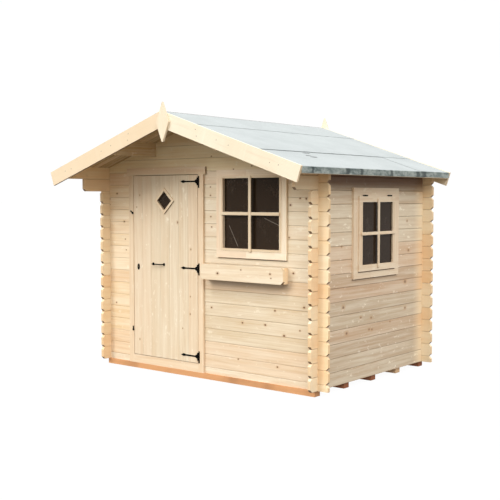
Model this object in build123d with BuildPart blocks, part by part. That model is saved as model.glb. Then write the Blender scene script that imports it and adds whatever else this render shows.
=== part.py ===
from build123d import *
from math import atan2, ceil, cos, degrees, radians, sin, tan
import os

# A small log cabin, in millimetres. X runs along the front, Y into the depth, Z up.
# The origin is on the ground, at the middle of the plan; the door faces -Y.
# Walls are solid logs that cross at the corners in half-lap notches. The long walls
# start with a half log, so every log lies half a course above its neighbour wall.

# Fits
JOINT_FIT = 0.3            # gap between neighbouring pieces that seat on each other
PIN_FIT = 0.05             # radial gap round a turning pin
LEAF_GAP = 5.0             # open gap round the door leaf

# Walls
WALL_LENGTH = 2440.0       # over the outer faces of the side walls
WALL_DEPTH = 1730.0        # over the outer faces of the front and back walls
LOG_THICKNESS = 28.0
LOG_PITCH = 114.0          # height of one course
LOG_VEE = 4.0              # bevel of the vee along each joint
LOG_TAIL = 98.0            # how far a log runs past the wall it crosses
TAIL_CHAMFER = 22.0
SIDE_COURSES = 14          # full courses of a side wall below its two long top logs
LONG_LOG_REACH = 312.0     # forward reach of the lower long log, from the front wall

# Base
BEARER_COUNT = 5
BEARER_WIDTH = 75.0
BEARER_HEIGHT = 48.0
BEARER_LENGTH = 2410.0
BEARER_OVERHANG = 20.0     # front and back bearers stand this far proud of the walls
FLOOR_THICKNESS = 16.0
FLOOR_BOARD_WIDTH = 110.0
FLOOR_MARGIN = 3.0         # gap between the floor and the walls

# Roof
ROOF_PITCH = 18.66         # degrees
RIDGE_UNDERSIDE = 2222.0   # underside of the roof boards at the ridge, above the wall foot
ROOF_BOARD_THICKNESS = 16.0
ROOF_BOARD_WIDTH = 94.0
ROOF_BOARD_VEE = 3.0
ROOF_HALF_SPAN = 1413.0    # ridge to the eave edge of the boards, on plan
FRONT_OVERHANG = 516.0     # front wall to the outer face of the front bargeboards
BACK_OVERHANG = 126.0
PURLIN_OFFSET = 582.0      # ridge line to the middle of a purlin
PURLIN_HEIGHT = 120.0
PURLIN_CHAMFER = 8.0
FASCIA_THICKNESS = 18.0
FASCIA_HEIGHT = 30.0
FELT_THICKNESS = 3.0
FELT_DROP = 51.0           # how far the felt is turned down over the eave
BARGE_THICKNESS = 20.0
BARGE_WIDTH = 128.0
BARGE_REACH = 11.0         # top corner of a bargeboard past the roof boards, on plan
BARGE_LIFT = 8.5           # bargeboard edge above the felt
FINIAL_THICKNESS = 20.0
FINIAL_HEIGHT = 325.0
FINIAL_WIDTH = 144.0
FINIAL_SHOULDER_WIDTH = 76.0
FINIAL_FOOT_WIDTH = 12.0
FRONT_FINIAL_RISE = 69.0   # finial tip above the apex of the bargeboards
BACK_FINIAL_RISE = 100.0
FINIAL_SHOULDER_DROP = 92.0
FINIAL_WIDEST_DROP = 164.0
FRONT_FINIAL_SHIFT = 36.0  # nailed on beside the joint, towards +X

# Casings and linings
CASING_THICKNESS = 18.0
DOOR_CASING_WIDTH = 60.0   # beside the door
HEAD_CASING_HEIGHT = 66.0  # over the door
HEAD_CASING_OVERHANG = 25.0  # ends of the head board past the uprights
FRONT_CASING_WIDTH = 72.0  # round the front window
FRONT_CASING_FOOT = 80.0   # below the front window
SIDE_CASING_WIDTH = 68.0   # round the side window
SIDE_CASING_FOOT = 60.0
GLASS_THICKNESS = 4.0
GLASS_SETBACK = 8.0        # glass behind the outer face of the wall

# Door
DOOR_CENTRE = -447.0
LEAF_WIDTH = 800.0
LEAF_HEIGHT = 1655.0
LEAF_BOARDS = 7
LEAF_BOARD_THICKNESS = 16.0
LEAF_VEE = 1.5
JAMB_LINING = 30.0
DOOR_STOP = 12.0
DOOR_FOOT_HEIGHT = 76.0
DOOR_HEAD_COURSES = 15     # full front courses below the top of the openings
LEDGE_THICKNESS = 20.0
LEDGE_HEIGHT = 95.0
LEDGE_INSET = 25.0         # leaf edge to the end of a ledge
BRACE_WIDTH = 70.0
HINGE_HEIGHTS = (139.0, 915.0, 1679.0)   # above the wall foot

# Door window
DIAMOND_HEIGHT = 1508.0    # middle, above the wall foot
DIAMOND_SIDE = 124.0
DIAMOND_TRIM_SIDE = 168.0
DIAMOND_TRIM_THICKNESS = 10.0

# Door hinges
STRAP_LENGTH = 205.0
STRAP_THICKNESS = 3.0
STRAP_ROOT_WIDTH = 44.0
STRAP_ROOT_LENGTH = 36.0
STRAP_NECK_WIDTH = 13.0
SPEAR_WIDTH = 26.0
SPEAR_LENGTH = 46.0
KNUCKLE_RADIUS = 6.0
KNUCKLE_END_HEIGHT = 12.0
HINGE_PIN_RADIUS = 3.0
HINGE_PLATE_HEIGHT = 104.0
HINGE_PLATE_WIDTH = 13.0
HINGE_PLATE_DROP = 5.0     # middle of the plate below the middle of the strap

# Door furniture
HANDLE_HEIGHT = 934.0      # above the wall foot
HANDLE_OFFSET = 78.0       # leaf middle to handle middle, towards the latch side
HANDLE_LENGTH = 160.0
HANDLE_REACH = 34.0
HANDLE_RADIUS = 5.0
HANDLE_FOOT_RADIUS = 13.0
HANDLE_FOOT_THICKNESS = 3.0
KEYHOLE_HEIGHT = 899.0
KEYHOLE_INSET = 62.0       # leaf edge to the middle of the keyhole plate
KEYHOLE_PLATE_WIDTH = 29.0
KEYHOLE_PLATE_HEIGHT = 56.0
KEYHOLE_PLATE_THICKNESS = 2.5
BUTTON_THICKNESS = 4.0
BUTTON_GAP = 1.5           # button clear of the casing and the leaf
BUTTON_LONG_ARM = 34.0
BUTTON_SHORT_ARM = 11.0
BUTTON_WIDTH = 13.0
BUTTON_PIN_RADIUS = 2.5
BUTTON_PIN_DEPTH = 14.0
BUTTON_HEAD_RADIUS = 4.5
UPPER_BUTTON_INSET = 13.0  # leaf edge to the pivot
UPPER_BUTTON_HEIGHT = 1396.0
UPPER_BUTTON_ANGLE = 146.0  # degrees from +X, as seen from the front
LOWER_BUTTON_INSET = 13.0
LOWER_BUTTON_HEIGHT = 308.0
LOWER_BUTTON_ANGLE = 90.0

# Windows
FRONT_WINDOW_CENTRE = 546.0
FRONT_WINDOW_FOOT = 1108.0  # bottom of the daylight, above the wall foot
FRONT_WINDOW_HEIGHT = 592.0
FRONT_WINDOW_COURSES = (9, 15)
SIDE_WINDOW_CENTRE = -7.0
SIDE_WINDOW_FOOT = 917.0
SIDE_WINDOW_HEIGHT = 635.0
SIDE_WINDOW_COURSES = (8, 14)
DAYLIGHT_WIDTH = 604.0
WINDOW_LINING = 22.0
SASH_THICKNESS = 30.0
SASH_STILE = 52.0
SASH_FOOT_RAIL = 53.0
SASH_GLASS_SETBACK = 14.0  # glass behind the sash face

# Window box
BOX_LEFT = 42.0
BOX_LENGTH = 892.0
BOX_FOOT = 836.0
BOX_HEIGHT = 132.0
BOX_DEPTH = 82.0
BOX_BOARD = 18.0
BOX_END_INSET = 12.0       # end boards inside the ends of the front board
BOX_CORNER = 22.0

# Worked out from the above
HALF_LENGTH = WALL_LENGTH / 2
HALF_DEPTH = WALL_DEPTH / 2
FOOT = BEARER_HEIGHT
NOTCH = LOG_PITCH / 4
ROOF_FALL = tan(radians(ROOF_PITCH))
BOARD_RISE = ROOF_BOARD_THICKNESS / cos(radians(ROOF_PITCH))
FELT_RISE = FELT_THICKNESS / cos(radians(ROOF_PITCH))
RIDGE_Z = FOOT + RIDGE_UNDERSIDE
BARGE_HALF_SPAN = ROOF_HALF_SPAN + BARGE_REACH
FELT_TOP_Z = RIDGE_Z + BOARD_RISE + FELT_RISE
APEX_Z = FELT_TOP_Z + BARGE_LIFT
FRONT_FACE_Y = -HALF_DEPTH
LEAF_FACE_Y = FRONT_FACE_Y - CASING_THICKNESS
LEAF_LEFT = DOOR_CENTRE - LEAF_WIDTH / 2
LEAF_RIGHT = DOOR_CENTRE + LEAF_WIDTH / 2
LEAF_FOOT = FOOT + DOOR_FOOT_HEIGHT + LEAF_GAP
LEAF_TOP = LEAF_FOOT + LEAF_HEIGHT
PIN_X = LEAF_RIGHT + LEAF_GAP / 2
PIN_Y = LEAF_FACE_Y - KNUCKLE_RADIUS
DOOR_ROUGH = LEAF_WIDTH / 2 + LEAF_GAP + JAMB_LINING + JOINT_FIT
WINDOW_ROUGH = DAYLIGHT_WIDTH / 2 + WINDOW_LINING + JOINT_FIT
BARGE_BACK_FRONT_Y = FRONT_FACE_Y - FRONT_OVERHANG + BARGE_THICKNESS
BARGE_BACK_REAR_Y = HALF_DEPTH + BACK_OVERHANG - BARGE_THICKNESS

# Each wall is drawn on one of its faces and extruded to the other.
FRONT_PLANE = Plane.XZ.offset(HALF_DEPTH - LOG_THICKNESS)
BACK_PLANE = Plane.XZ.offset(-HALF_DEPTH)
LEFT_PLANE = Plane.YZ.offset(-HALF_LENGTH)
RIGHT_PLANE = Plane.YZ.offset(HALF_LENGTH - LOG_THICKNESS)


def front_course(index):
    """Height of the bottom of a front or back log; these lie half a course up."""
    return FOOT + (index + 0.5) * LOG_PITCH


def side_course(index):
    """Height of the bottom of a side log."""
    return FOOT + index * LOG_PITCH


def roof_underside(x):
    """Height of the underside of the roof boards over a point of the plan."""
    return RIDGE_Z - abs(x) * ROOF_FALL


def notch_points(crossing, edge, depth):
    """The four corners of the notch for the wall that crosses at this place."""
    half = LOG_THICKNESS / 2 + JOINT_FIT
    return [(crossing - half, edge), (crossing - half, edge + depth),
            (crossing + half, edge + depth), (crossing + half, edge)]


def edge_points(left, right, edge, inward, crossings, notched, chamfered):
    """One long edge of a log, left to right, with its notches and end chamfers."""
    points = []
    if chamfered[0]:
        points += [(left, edge + inward * TAIL_CHAMFER), (left + TAIL_CHAMFER, edge)]
    else:
        points.append((left, edge))
    if notched:
        depth = inward * (NOTCH + JOINT_FIT / 2)
        for crossing in crossings:
            points += notch_points(crossing, edge, depth)
    if chamfered[1]:
        points += [(right - TAIL_CHAMFER, edge), (right, edge + inward * TAIL_CHAMFER)]
    else:
        points.append((right, edge))
    return points


def log_outline(left, right, bottom, height=LOG_PITCH, crossings=(), half_log=False,
                chamfers=((True, True), (True, True))):
    """The side view of one log, as a list of corners.

    crossings are the middles of the walls that the log crosses, and chamfers says
    which ends are chamfered, below and above. A half log has a plain lower edge.
    """
    top = bottom + height - JOINT_FIT
    lower_chamfers = (False, False) if half_log else chamfers[0]
    lower = edge_points(left, right, bottom, 1, crossings, not half_log, lower_chamfers)
    upper = edge_points(left, right, top, -1, crossings, True, chamfers[1])
    return lower + upper[::-1]


def log_wall(plane, outlines, joints, cutters=()):
    """Logs one above another, with a vee along each joint on both faces of the wall."""
    reach = WALL_LENGTH + LOG_TAIL
    across = Plane(origin=plane.origin - plane.x_dir * reach, x_dir=-plane.z_dir, z_dir=plane.x_dir)
    with BuildPart() as wall:
        with BuildSketch(plane):
            for outline in outlines:
                with BuildLine():
                    Polyline(*outline, close=True)
                make_face()
        extrude(amount=LOG_THICKNESS)
        with BuildSketch(across):
            for z in joints:
                for face, inward in ((0, -1), (-LOG_THICKNESS, 1)):
                    with BuildLine():
                        Polyline((face - inward, z - LOG_VEE - 1), (face + inward * LOG_VEE, z),
                                 (face - inward, z + LOG_VEE + 1), close=True)
                    make_face()
        extrude(amount=2 * reach, mode=Mode.SUBTRACT)
        for cutter in cutters:
            add(cutter, mode=Mode.SUBTRACT)
    return wall


def front_joints(courses):
    """Heights of the joints below these courses of the front and back walls."""
    return [front_course(course) - JOINT_FIT / 2 for course in courses]


def side_joints(courses):
    """Heights of the joints below these courses of the side walls."""
    return [side_course(course) - JOINT_FIT / 2 for course in courses]


def purlin_foot(x):
    """Height of the underside of a purlin."""
    return roof_underside(x) - PURLIN_HEIGHT


def save(builder, label):
    """Name a finished piece and write it as its own file."""
    builder.part.label = label
    export_step(builder.part, f"parts/{label}.step")


os.makedirs("parts", exist_ok=True)

CORNER_X = HALF_LENGTH - LOG_THICKNESS / 2
CORNER_Y = HALF_DEPTH - LOG_THICKNESS / 2
TAIL_X = HALF_LENGTH + LOG_TAIL
TAIL_Y = HALF_DEPTH + LOG_TAIL
LENGTH_CROSSINGS = (-CORNER_X, CORNER_X)
DEPTH_CROSSINGS = (-CORNER_Y, CORNER_Y)
NO_CHAMFER = ((False, False), (False, False))
LEFT_END_ONLY = ((True, False), (True, False))
RIGHT_END_ONLY = ((False, True), (False, True))

# The space above the underside of the roof boards, cut from whatever reaches into it
with BuildPart() as roof_space:
    space_reach = BARGE_HALF_SPAN + LOG_TAIL
    space_length = WALL_DEPTH + 2 * FRONT_OVERHANG
    seat = RIDGE_Z - JOINT_FIT
    with BuildSketch(Plane.XZ.offset(-space_length / 2)):
        with BuildLine():
            Polyline((-space_reach, seat - space_reach * ROOF_FALL), (0, seat),
                     (space_reach, seat - space_reach * ROOF_FALL), (space_reach, seat + LOG_PITCH),
                     (-space_reach, seat + LOG_PITCH), close=True)
        make_face()
    extrude(amount=space_length)

# The slots that let the purlins and the ridge beam through the gables
with BuildPart() as beam_slots:
    with BuildSketch(Plane.XZ.offset(-WALL_DEPTH)):
        for x in (-PURLIN_OFFSET, 0, PURLIN_OFFSET):
            with Locations((x, purlin_foot(x) - JOINT_FIT)):
                Rectangle(LOG_THICKNESS + 2 * JOINT_FIT, PURLIN_HEIGHT * 2,
                          align=(Align.CENTER, Align.MIN))
    extrude(amount=2 * WALL_DEPTH)

# ---------------------------------------------------------------- base

bearer_run = WALL_DEPTH + 2 * BEARER_OVERHANG - BEARER_WIDTH
with BuildPart() as bearers:
    with GridLocations(0, bearer_run / (BEARER_COUNT - 1), 1, BEARER_COUNT):
        Box(BEARER_LENGTH, BEARER_WIDTH, BEARER_HEIGHT, align=(Align.CENTER, Align.CENTER, Align.MIN))
save(bearers, "bearers")

floor_length = WALL_LENGTH - 2 * (LOG_THICKNESS + FLOOR_MARGIN)
floor_depth = WALL_DEPTH - 2 * (LOG_THICKNESS + FLOOR_MARGIN)
floor_count = ceil(floor_length / FLOOR_BOARD_WIDTH)
floor_pitch = floor_length / floor_count
with BuildPart() as floor_boards:
    with BuildSketch(Plane.XY.offset(FOOT + JOINT_FIT)):
        with GridLocations(floor_pitch, 0, floor_count, 1):
            Rectangle(floor_pitch - JOINT_FIT, floor_depth)
    extrude(amount=FLOOR_THICKNESS)
save(floor_boards, "floor_boards")

# ---------------------------------------------------------------- front wall

head_courses = range(DOOR_HEAD_COURSES)
low_courses = range(FRONT_WINDOW_COURSES[0])
window_courses = range(*FRONT_WINDOW_COURSES)
window_joint_courses = range(FRONT_WINDOW_COURSES[0], FRONT_WINDOW_COURSES[1] + 1)
gable_courses = range(DOOR_HEAD_COURSES, ceil(RIDGE_UNDERSIDE / LOG_PITCH - 0.5))
door_left_cut = DOOR_CENTRE - DOOR_ROUGH
door_right_cut = DOOR_CENTRE + DOOR_ROUGH
window_left_cut = FRONT_WINDOW_CENTRE - WINDOW_ROUGH
window_right_cut = FRONT_WINDOW_CENTRE + WINDOW_ROUGH
half_log = log_outline(-TAIL_X, TAIL_X, FOOT, LOG_PITCH / 2, LENGTH_CROSSINGS, half_log=True)
gable_logs = [log_outline(-TAIL_X, TAIL_X, front_course(course), crossings=LENGTH_CROSSINGS,
                          chamfers=NO_CHAMFER) for course in gable_courses]
gable_cutters = (roof_space.part, beam_slots.part)

front_sill_log = log_wall(FRONT_PLANE, [half_log], front_joints([0]))
save(front_sill_log, "front_sill_log")

left_logs = [log_outline(-TAIL_X, door_left_cut, front_course(course), crossings=[-CORNER_X],
                         chamfers=LEFT_END_ONLY) for course in head_courses]
front_wall_left = log_wall(FRONT_PLANE, left_logs, front_joints(range(DOOR_HEAD_COURSES + 1)))
save(front_wall_left, "front_wall_left")

low_logs = [log_outline(door_right_cut, TAIL_X, front_course(course), crossings=[CORNER_X],
                        chamfers=RIGHT_END_ONLY) for course in low_courses]
front_wall_under_window = log_wall(FRONT_PLANE, low_logs,
                                   front_joints(range(FRONT_WINDOW_COURSES[0] + 1)))
save(front_wall_under_window, "front_wall_under_window")

beside_logs = [log_outline(door_right_cut, window_left_cut, front_course(course), chamfers=NO_CHAMFER)
               for course in window_courses]
beside_logs += [log_outline(window_right_cut, TAIL_X, front_course(course), crossings=[CORNER_X],
                            chamfers=RIGHT_END_ONLY) for course in window_courses]
front_wall_beside_window = log_wall(FRONT_PLANE, beside_logs, front_joints(window_joint_courses))
save(front_wall_beside_window, "front_wall_beside_window")

front_gable = log_wall(FRONT_PLANE, gable_logs, front_joints(gable_courses), gable_cutters)
save(front_gable, "front_gable")

# ---------------------------------------------------------------- back wall

back_logs = [log_outline(-TAIL_X, TAIL_X, front_course(course), crossings=LENGTH_CROSSINGS)
             for course in head_courses]
back_wall = log_wall(BACK_PLANE, [half_log] + back_logs, front_joints(range(DOOR_HEAD_COURSES + 1)))
save(back_wall, "back_wall")

back_gable = log_wall(BACK_PLANE, gable_logs, front_joints(gable_courses), gable_cutters)
save(back_gable, "back_gable")

# ---------------------------------------------------------------- side walls

side_window_left_cut = SIDE_WINDOW_CENTRE - WINDOW_ROUGH
side_window_right_cut = SIDE_WINDOW_CENTRE + WINDOW_ROUGH
side_low_courses = range(SIDE_WINDOW_COURSES[0])
side_window_courses = range(*SIDE_WINDOW_COURSES)
side_window_joints = side_joints(range(SIDE_WINDOW_COURSES[0], SIDE_COURSES + 1))
top_log = log_outline(-(HALF_DEPTH + LONG_LOG_REACH), TAIL_Y, side_course(SIDE_COURSES),
                      crossings=DEPTH_CROSSINGS, chamfers=((True, True), (False, True)))
eave_log = log_outline(BARGE_BACK_FRONT_Y + JOINT_FIT, BARGE_BACK_REAR_Y - JOINT_FIT,
                       side_course(SIDE_COURSES + 1), crossings=DEPTH_CROSSINGS, chamfers=NO_CHAMFER)
top_joints = side_joints([SIDE_COURSES, SIDE_COURSES + 1])

side_logs = [log_outline(-TAIL_Y, TAIL_Y, side_course(course), crossings=DEPTH_CROSSINGS)
             for course in range(SIDE_COURSES)]
left_wall = log_wall(LEFT_PLANE, side_logs, side_joints(range(1, SIDE_COURSES + 1)))
save(left_wall, "left_wall")

left_wall_top = log_wall(LEFT_PLANE, [top_log, eave_log], top_joints, [roof_space.part])
save(left_wall_top, "left_wall_top")

right_wall_under_window = log_wall(RIGHT_PLANE, [side_logs[course] for course in side_low_courses],
                                   side_joints(range(1, SIDE_WINDOW_COURSES[0] + 1)))
save(right_wall_under_window, "right_wall_under_window")

end_logs = [log_outline(-TAIL_Y, side_window_left_cut, side_course(course), crossings=[-CORNER_Y],
                        chamfers=LEFT_END_ONLY) for course in side_window_courses]
end_logs += [log_outline(side_window_right_cut, TAIL_Y, side_course(course), crossings=[CORNER_Y],
                         chamfers=RIGHT_END_ONLY) for course in side_window_courses]
right_wall_beside_window = log_wall(RIGHT_PLANE, end_logs, side_window_joints)
save(right_wall_beside_window, "right_wall_beside_window")

right_wall_top = log_wall(RIGHT_PLANE, [top_log, eave_log], top_joints, [roof_space.part])
save(right_wall_top, "right_wall_top")

# ---------------------------------------------------------------- roof

roof_front = BARGE_BACK_FRONT_Y + JOINT_FIT
roof_back = BARGE_BACK_REAR_Y - JOINT_FIT
roof_length = roof_back - roof_front


def beams(*places):
    """Purlins or the ridge beam: logs that carry the roof from gable to gable."""
    with BuildPart() as logs:
        with BuildSketch(Plane.XZ.offset(-roof_front)):
            with Locations(*[(x, purlin_foot(x)) for x in places]):
                Rectangle(LOG_THICKNESS, PURLIN_HEIGHT * 1.5, align=(Align.CENTER, Align.MIN))
        extrude(amount=-roof_length)
        chamfer(edges().filter_by(Axis.Y).group_by(Axis.Z)[0], length=PURLIN_CHAMFER)
        add(roof_space.part, mode=Mode.SUBTRACT)
    return logs


save(beams(0), "ridge_beam")
save(beams(-PURLIN_OFFSET, PURLIN_OFFSET), "purlins")

board_count = ceil(roof_length / ROOF_BOARD_WIDTH)
board_pitch = roof_length / board_count


def roof_slope(side):
    """The roof boards of one slope, side by side from front to back."""
    ridge_x = side * JOINT_FIT
    eave_x = side * ROOF_HALF_SPAN
    slope = radians(ROOF_PITCH)
    down_slope = Axis((0, 0, RIDGE_Z), (side * cos(slope), 0, -sin(slope)))
    off_slope = Axis((0, 0, RIDGE_Z), (side * sin(slope), 0, cos(slope)))
    with BuildPart() as boards:
        for index in range(board_count):
            with BuildSketch(Plane.XZ.offset(-(roof_front + index * board_pitch))):
                with BuildLine():
                    Polyline((ridge_x, roof_underside(ridge_x)), (eave_x, roof_underside(eave_x)),
                             (eave_x, roof_underside(eave_x) + BOARD_RISE),
                             (ridge_x, roof_underside(ridge_x) + BOARD_RISE), close=True)
                make_face()
            extrude(amount=-(board_pitch - JOINT_FIT))
        chamfer(edges().filter_by(down_slope).group_by(off_slope)[0], length=ROOF_BOARD_VEE)
    return boards


save(roof_slope(-1), "roof_boards_left")
save(roof_slope(1), "roof_boards_right")


# The boards under the eave edges of the roof boards, which the felt is nailed to
with BuildPart() as eave_fascias:
    fascia_outer = ROOF_HALF_SPAN
    fascia_inner = ROOF_HALF_SPAN - FASCIA_THICKNESS
    fascia_foot = roof_underside(fascia_outer) - FASCIA_HEIGHT
    with BuildSketch(Plane.XZ.offset(-roof_front)):
        with BuildLine():
            Polyline((fascia_outer, fascia_foot), (fascia_outer, roof_underside(fascia_outer) - JOINT_FIT),
                     (fascia_inner, roof_underside(fascia_inner) - JOINT_FIT),
                     (fascia_inner, fascia_foot), close=True)
        make_face()
        mirror(about=Plane.YZ)
    extrude(amount=-roof_length)
save(eave_fascias, "eave_fascias")

with BuildPart() as roof_felt:
    felt_seat = RIDGE_Z + BOARD_RISE + JOINT_FIT
    felt_edge = ROOF_HALF_SPAN + JOINT_FIT
    felt_outer = felt_edge + FELT_THICKNESS
    with BuildSketch(Plane.XZ.offset(-roof_front)):
        with BuildLine():
            inner_edge_z = felt_seat - felt_edge * ROOF_FALL
            outer_edge_z = felt_seat + FELT_RISE - felt_outer * ROOF_FALL
            drop_z = outer_edge_z - FELT_DROP
            half = [(0, felt_seat), (felt_edge, inner_edge_z), (felt_edge, drop_z),
                    (felt_outer, drop_z), (felt_outer, outer_edge_z), (0, felt_seat + FELT_RISE)]
            Polyline(*half, close=True)
        make_face()
        mirror(about=Plane.YZ)
    extrude(amount=-roof_length)
save(roof_felt, "roof_felt")


def bargeboards(outer_y):
    """The two sloping boards of a gable, cut plumb at the ridge and square at the foot."""
    slope = radians(ROOF_PITCH)
    foot_top = (BARGE_HALF_SPAN, APEX_Z - BARGE_HALF_SPAN * ROOF_FALL)
    foot_bottom = (foot_top[0] - BARGE_WIDTH * sin(slope), foot_top[1] - BARGE_WIDTH * cos(slope))
    plumb = JOINT_FIT / 2
    with BuildPart() as boards:
        with BuildSketch(Plane.XZ.offset(-outer_y)):
            with BuildLine():
                Polyline((plumb, APEX_Z), foot_top, foot_bottom,
                         (plumb, APEX_Z - BARGE_WIDTH / cos(slope)), close=True)
            make_face()
            mirror(about=Plane.YZ)
        extrude(amount=-BARGE_THICKNESS)
    return boards


def finial(outer_y, rise, middle=0):
    """The spear-shaped board that covers the joint of two bargeboards."""
    tip = APEX_Z + rise
    shoulder = FINIAL_SHOULDER_WIDTH / 2
    widest = FINIAL_WIDTH / 2
    foot = FINIAL_FOOT_WIDTH / 2
    right = [(middle + shoulder, tip - FINIAL_SHOULDER_DROP), (middle + widest, tip - FINIAL_WIDEST_DROP),
             (middle + foot, tip - FINIAL_HEIGHT)]
    left = [(2 * middle - x, z) for x, z in reversed(right)]
    with BuildPart() as board:
        with BuildSketch(Plane.XZ.offset(-outer_y)):
            with BuildLine():
                Polyline((middle, tip), *right, *left, close=True)
            make_face()
        extrude(amount=-FINIAL_THICKNESS)
    return board


front_barge_y = FRONT_FACE_Y - FRONT_OVERHANG
back_barge_y = BARGE_BACK_REAR_Y
save(bargeboards(front_barge_y), "front_bargeboards")
save(bargeboards(back_barge_y), "back_bargeboards")
front_finial_y = front_barge_y - FINIAL_THICKNESS - JOINT_FIT
save(finial(front_finial_y, FRONT_FINIAL_RISE, FRONT_FINIAL_SHIFT), "front_finial")
save(finial(back_barge_y + BARGE_THICKNESS + JOINT_FIT, BACK_FINIAL_RISE), "back_finial")

# ---------------------------------------------------------------- windows


def window_frame(plane, centre, daylight_foot, daylight_height, rough_foot, rough_head, casing, foot_casing):
    """A casing round the daylight, and the lining through the wall behind it.

    The plane lies on the outer face of the wall and faces outwards. The casing boards
    have one width at the top and the sides, and their own width at the foot.
    """
    middle = daylight_foot + daylight_height / 2
    with BuildPart() as frame:
        with BuildSketch(plane):
            with Locations((centre, daylight_foot - foot_casing)):
                Rectangle(DAYLIGHT_WIDTH + 2 * casing, daylight_height + foot_casing + casing,
                          align=(Align.CENTER, Align.MIN))
            with Locations((centre, middle)):
                Rectangle(DAYLIGHT_WIDTH, daylight_height, mode=Mode.SUBTRACT)
        extrude(amount=CASING_THICKNESS)
        with BuildSketch(plane):
            with Locations((centre, rough_foot + JOINT_FIT)):
                Rectangle(DAYLIGHT_WIDTH + 2 * WINDOW_LINING, rough_head - rough_foot - 3 * JOINT_FIT,
                          align=(Align.CENTER, Align.MIN))
            with Locations((centre, middle)):
                Rectangle(DAYLIGHT_WIDTH, daylight_height, mode=Mode.SUBTRACT)
        extrude(amount=-LOG_THICKNESS)
    return frame


front_casing_plane = Plane.XZ.offset(-FRONT_FACE_Y + JOINT_FIT)
side_casing_plane = Plane(origin=(HALF_LENGTH + JOINT_FIT, 0, 0), x_dir=(0, 1, 0), z_dir=(1, 0, 0))

front_window_frame = window_frame(
    front_casing_plane, FRONT_WINDOW_CENTRE, FOOT + FRONT_WINDOW_FOOT, FRONT_WINDOW_HEIGHT,
    front_course(FRONT_WINDOW_COURSES[0]), front_course(FRONT_WINDOW_COURSES[1]),
    FRONT_CASING_WIDTH, FRONT_CASING_FOOT)
save(front_window_frame, "front_window_frame")

with BuildPart() as front_window_glass:
    with BuildSketch(front_casing_plane.offset(-GLASS_SETBACK)):
        with Locations((FRONT_WINDOW_CENTRE, FOOT + FRONT_WINDOW_FOOT + FRONT_WINDOW_HEIGHT / 2)):
            Rectangle(DAYLIGHT_WIDTH - 2 * JOINT_FIT, FRONT_WINDOW_HEIGHT - 2 * JOINT_FIT)
    extrude(amount=-GLASS_THICKNESS)
save(front_window_glass, "front_window_glass")

side_window_frame = window_frame(
    side_casing_plane, SIDE_WINDOW_CENTRE, FOOT + SIDE_WINDOW_FOOT, SIDE_WINDOW_HEIGHT,
    side_course(SIDE_WINDOW_COURSES[0]), side_course(SIDE_WINDOW_COURSES[1]),
    SIDE_CASING_WIDTH, SIDE_CASING_FOOT)
save(side_window_frame, "side_window_frame")

sash_width = DAYLIGHT_WIDTH - 2 * JOINT_FIT
sash_height = SIDE_WINDOW_HEIGHT - 2 * JOINT_FIT
sash_middle = FOOT + SIDE_WINDOW_FOOT + SIDE_WINDOW_HEIGHT / 2
pane_width = sash_width - 2 * SASH_STILE
pane_height = sash_height - SASH_STILE - SASH_FOOT_RAIL
pane_middle = sash_middle + (SASH_FOOT_RAIL - SASH_STILE) / 2
with BuildPart() as side_window_sash:
    with BuildSketch(side_casing_plane):
        with Locations((SIDE_WINDOW_CENTRE, sash_middle)):
            Rectangle(sash_width, sash_height)
        with Locations((SIDE_WINDOW_CENTRE, pane_middle)):
            Rectangle(pane_width, pane_height, mode=Mode.SUBTRACT)
    extrude(amount=SASH_THICKNESS)
save(side_window_sash, "side_window_sash")

with BuildPart() as side_window_glass:
    with BuildSketch(side_casing_plane.offset(SASH_THICKNESS - SASH_GLASS_SETBACK)):
        with Locations((SIDE_WINDOW_CENTRE, pane_middle)):
            Rectangle(pane_width - 2 * JOINT_FIT, pane_height - 2 * JOINT_FIT)
    extrude(amount=-GLASS_THICKNESS)
save(side_window_glass, "side_window_glass")

# ---------------------------------------------------------------- door frame

jamb_inner = LEAF_WIDTH / 2 + LEAF_GAP
stop_front_y = LEAF_FACE_Y + LEAF_BOARD_THICKNESS + LEAF_GAP
casing_back_y = FRONT_FACE_Y - JOINT_FIT
wall_back_y = FRONT_FACE_Y + LOG_THICKNESS
jamb_top = LEAF_TOP + LEAF_GAP - JOINT_FIT


def jamb(side, pin_holes=()):
    """One upright of the door frame: casing, lining and door stop in one section."""
    section = [(jamb_inner + DOOR_CASING_WIDTH, LEAF_FACE_Y), (jamb_inner, LEAF_FACE_Y),
               (jamb_inner, stop_front_y), (jamb_inner - DOOR_STOP, stop_front_y),
               (jamb_inner - DOOR_STOP, wall_back_y), (jamb_inner + JAMB_LINING, wall_back_y),
               (jamb_inner + JAMB_LINING, casing_back_y), (jamb_inner + DOOR_CASING_WIDTH, casing_back_y)]
    lining_foot = front_course(0)
    with BuildPart() as upright:
        with BuildSketch(Plane.XY.offset(lining_foot)):
            with BuildLine():
                Polyline(*[(DOOR_CENTRE + side * x, y) for x, y in section], close=True)
            make_face()
        extrude(amount=jamb_top - lining_foot)
        with BuildSketch(Plane.XY.offset(FOOT)):
            with Locations((DOOR_CENTRE + side * (jamb_inner + DOOR_CASING_WIDTH / 2), LEAF_FACE_Y)):
                Rectangle(DOOR_CASING_WIDTH, casing_back_y - LEAF_FACE_Y, align=(Align.CENTER, Align.MIN))
        extrude(amount=lining_foot - FOOT)
        if pin_holes:
            with BuildSketch(Plane.XZ.offset(-LEAF_FACE_Y)):
                with Locations(*pin_holes):
                    Circle(BUTTON_PIN_RADIUS + PIN_FIT)
            extrude(amount=-(BUTTON_PIN_DEPTH + BUTTON_GAP), mode=Mode.SUBTRACT)
    return upright


upper_pivot = (LEAF_LEFT - UPPER_BUTTON_INSET, FOOT + UPPER_BUTTON_HEIGHT)
lower_pivot = (LEAF_LEFT - LOWER_BUTTON_INSET, FOOT + LOWER_BUTTON_HEIGHT)
save(jamb(-1, (upper_pivot, lower_pivot)), "door_frame_left")
save(jamb(1), "door_frame_right")

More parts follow.
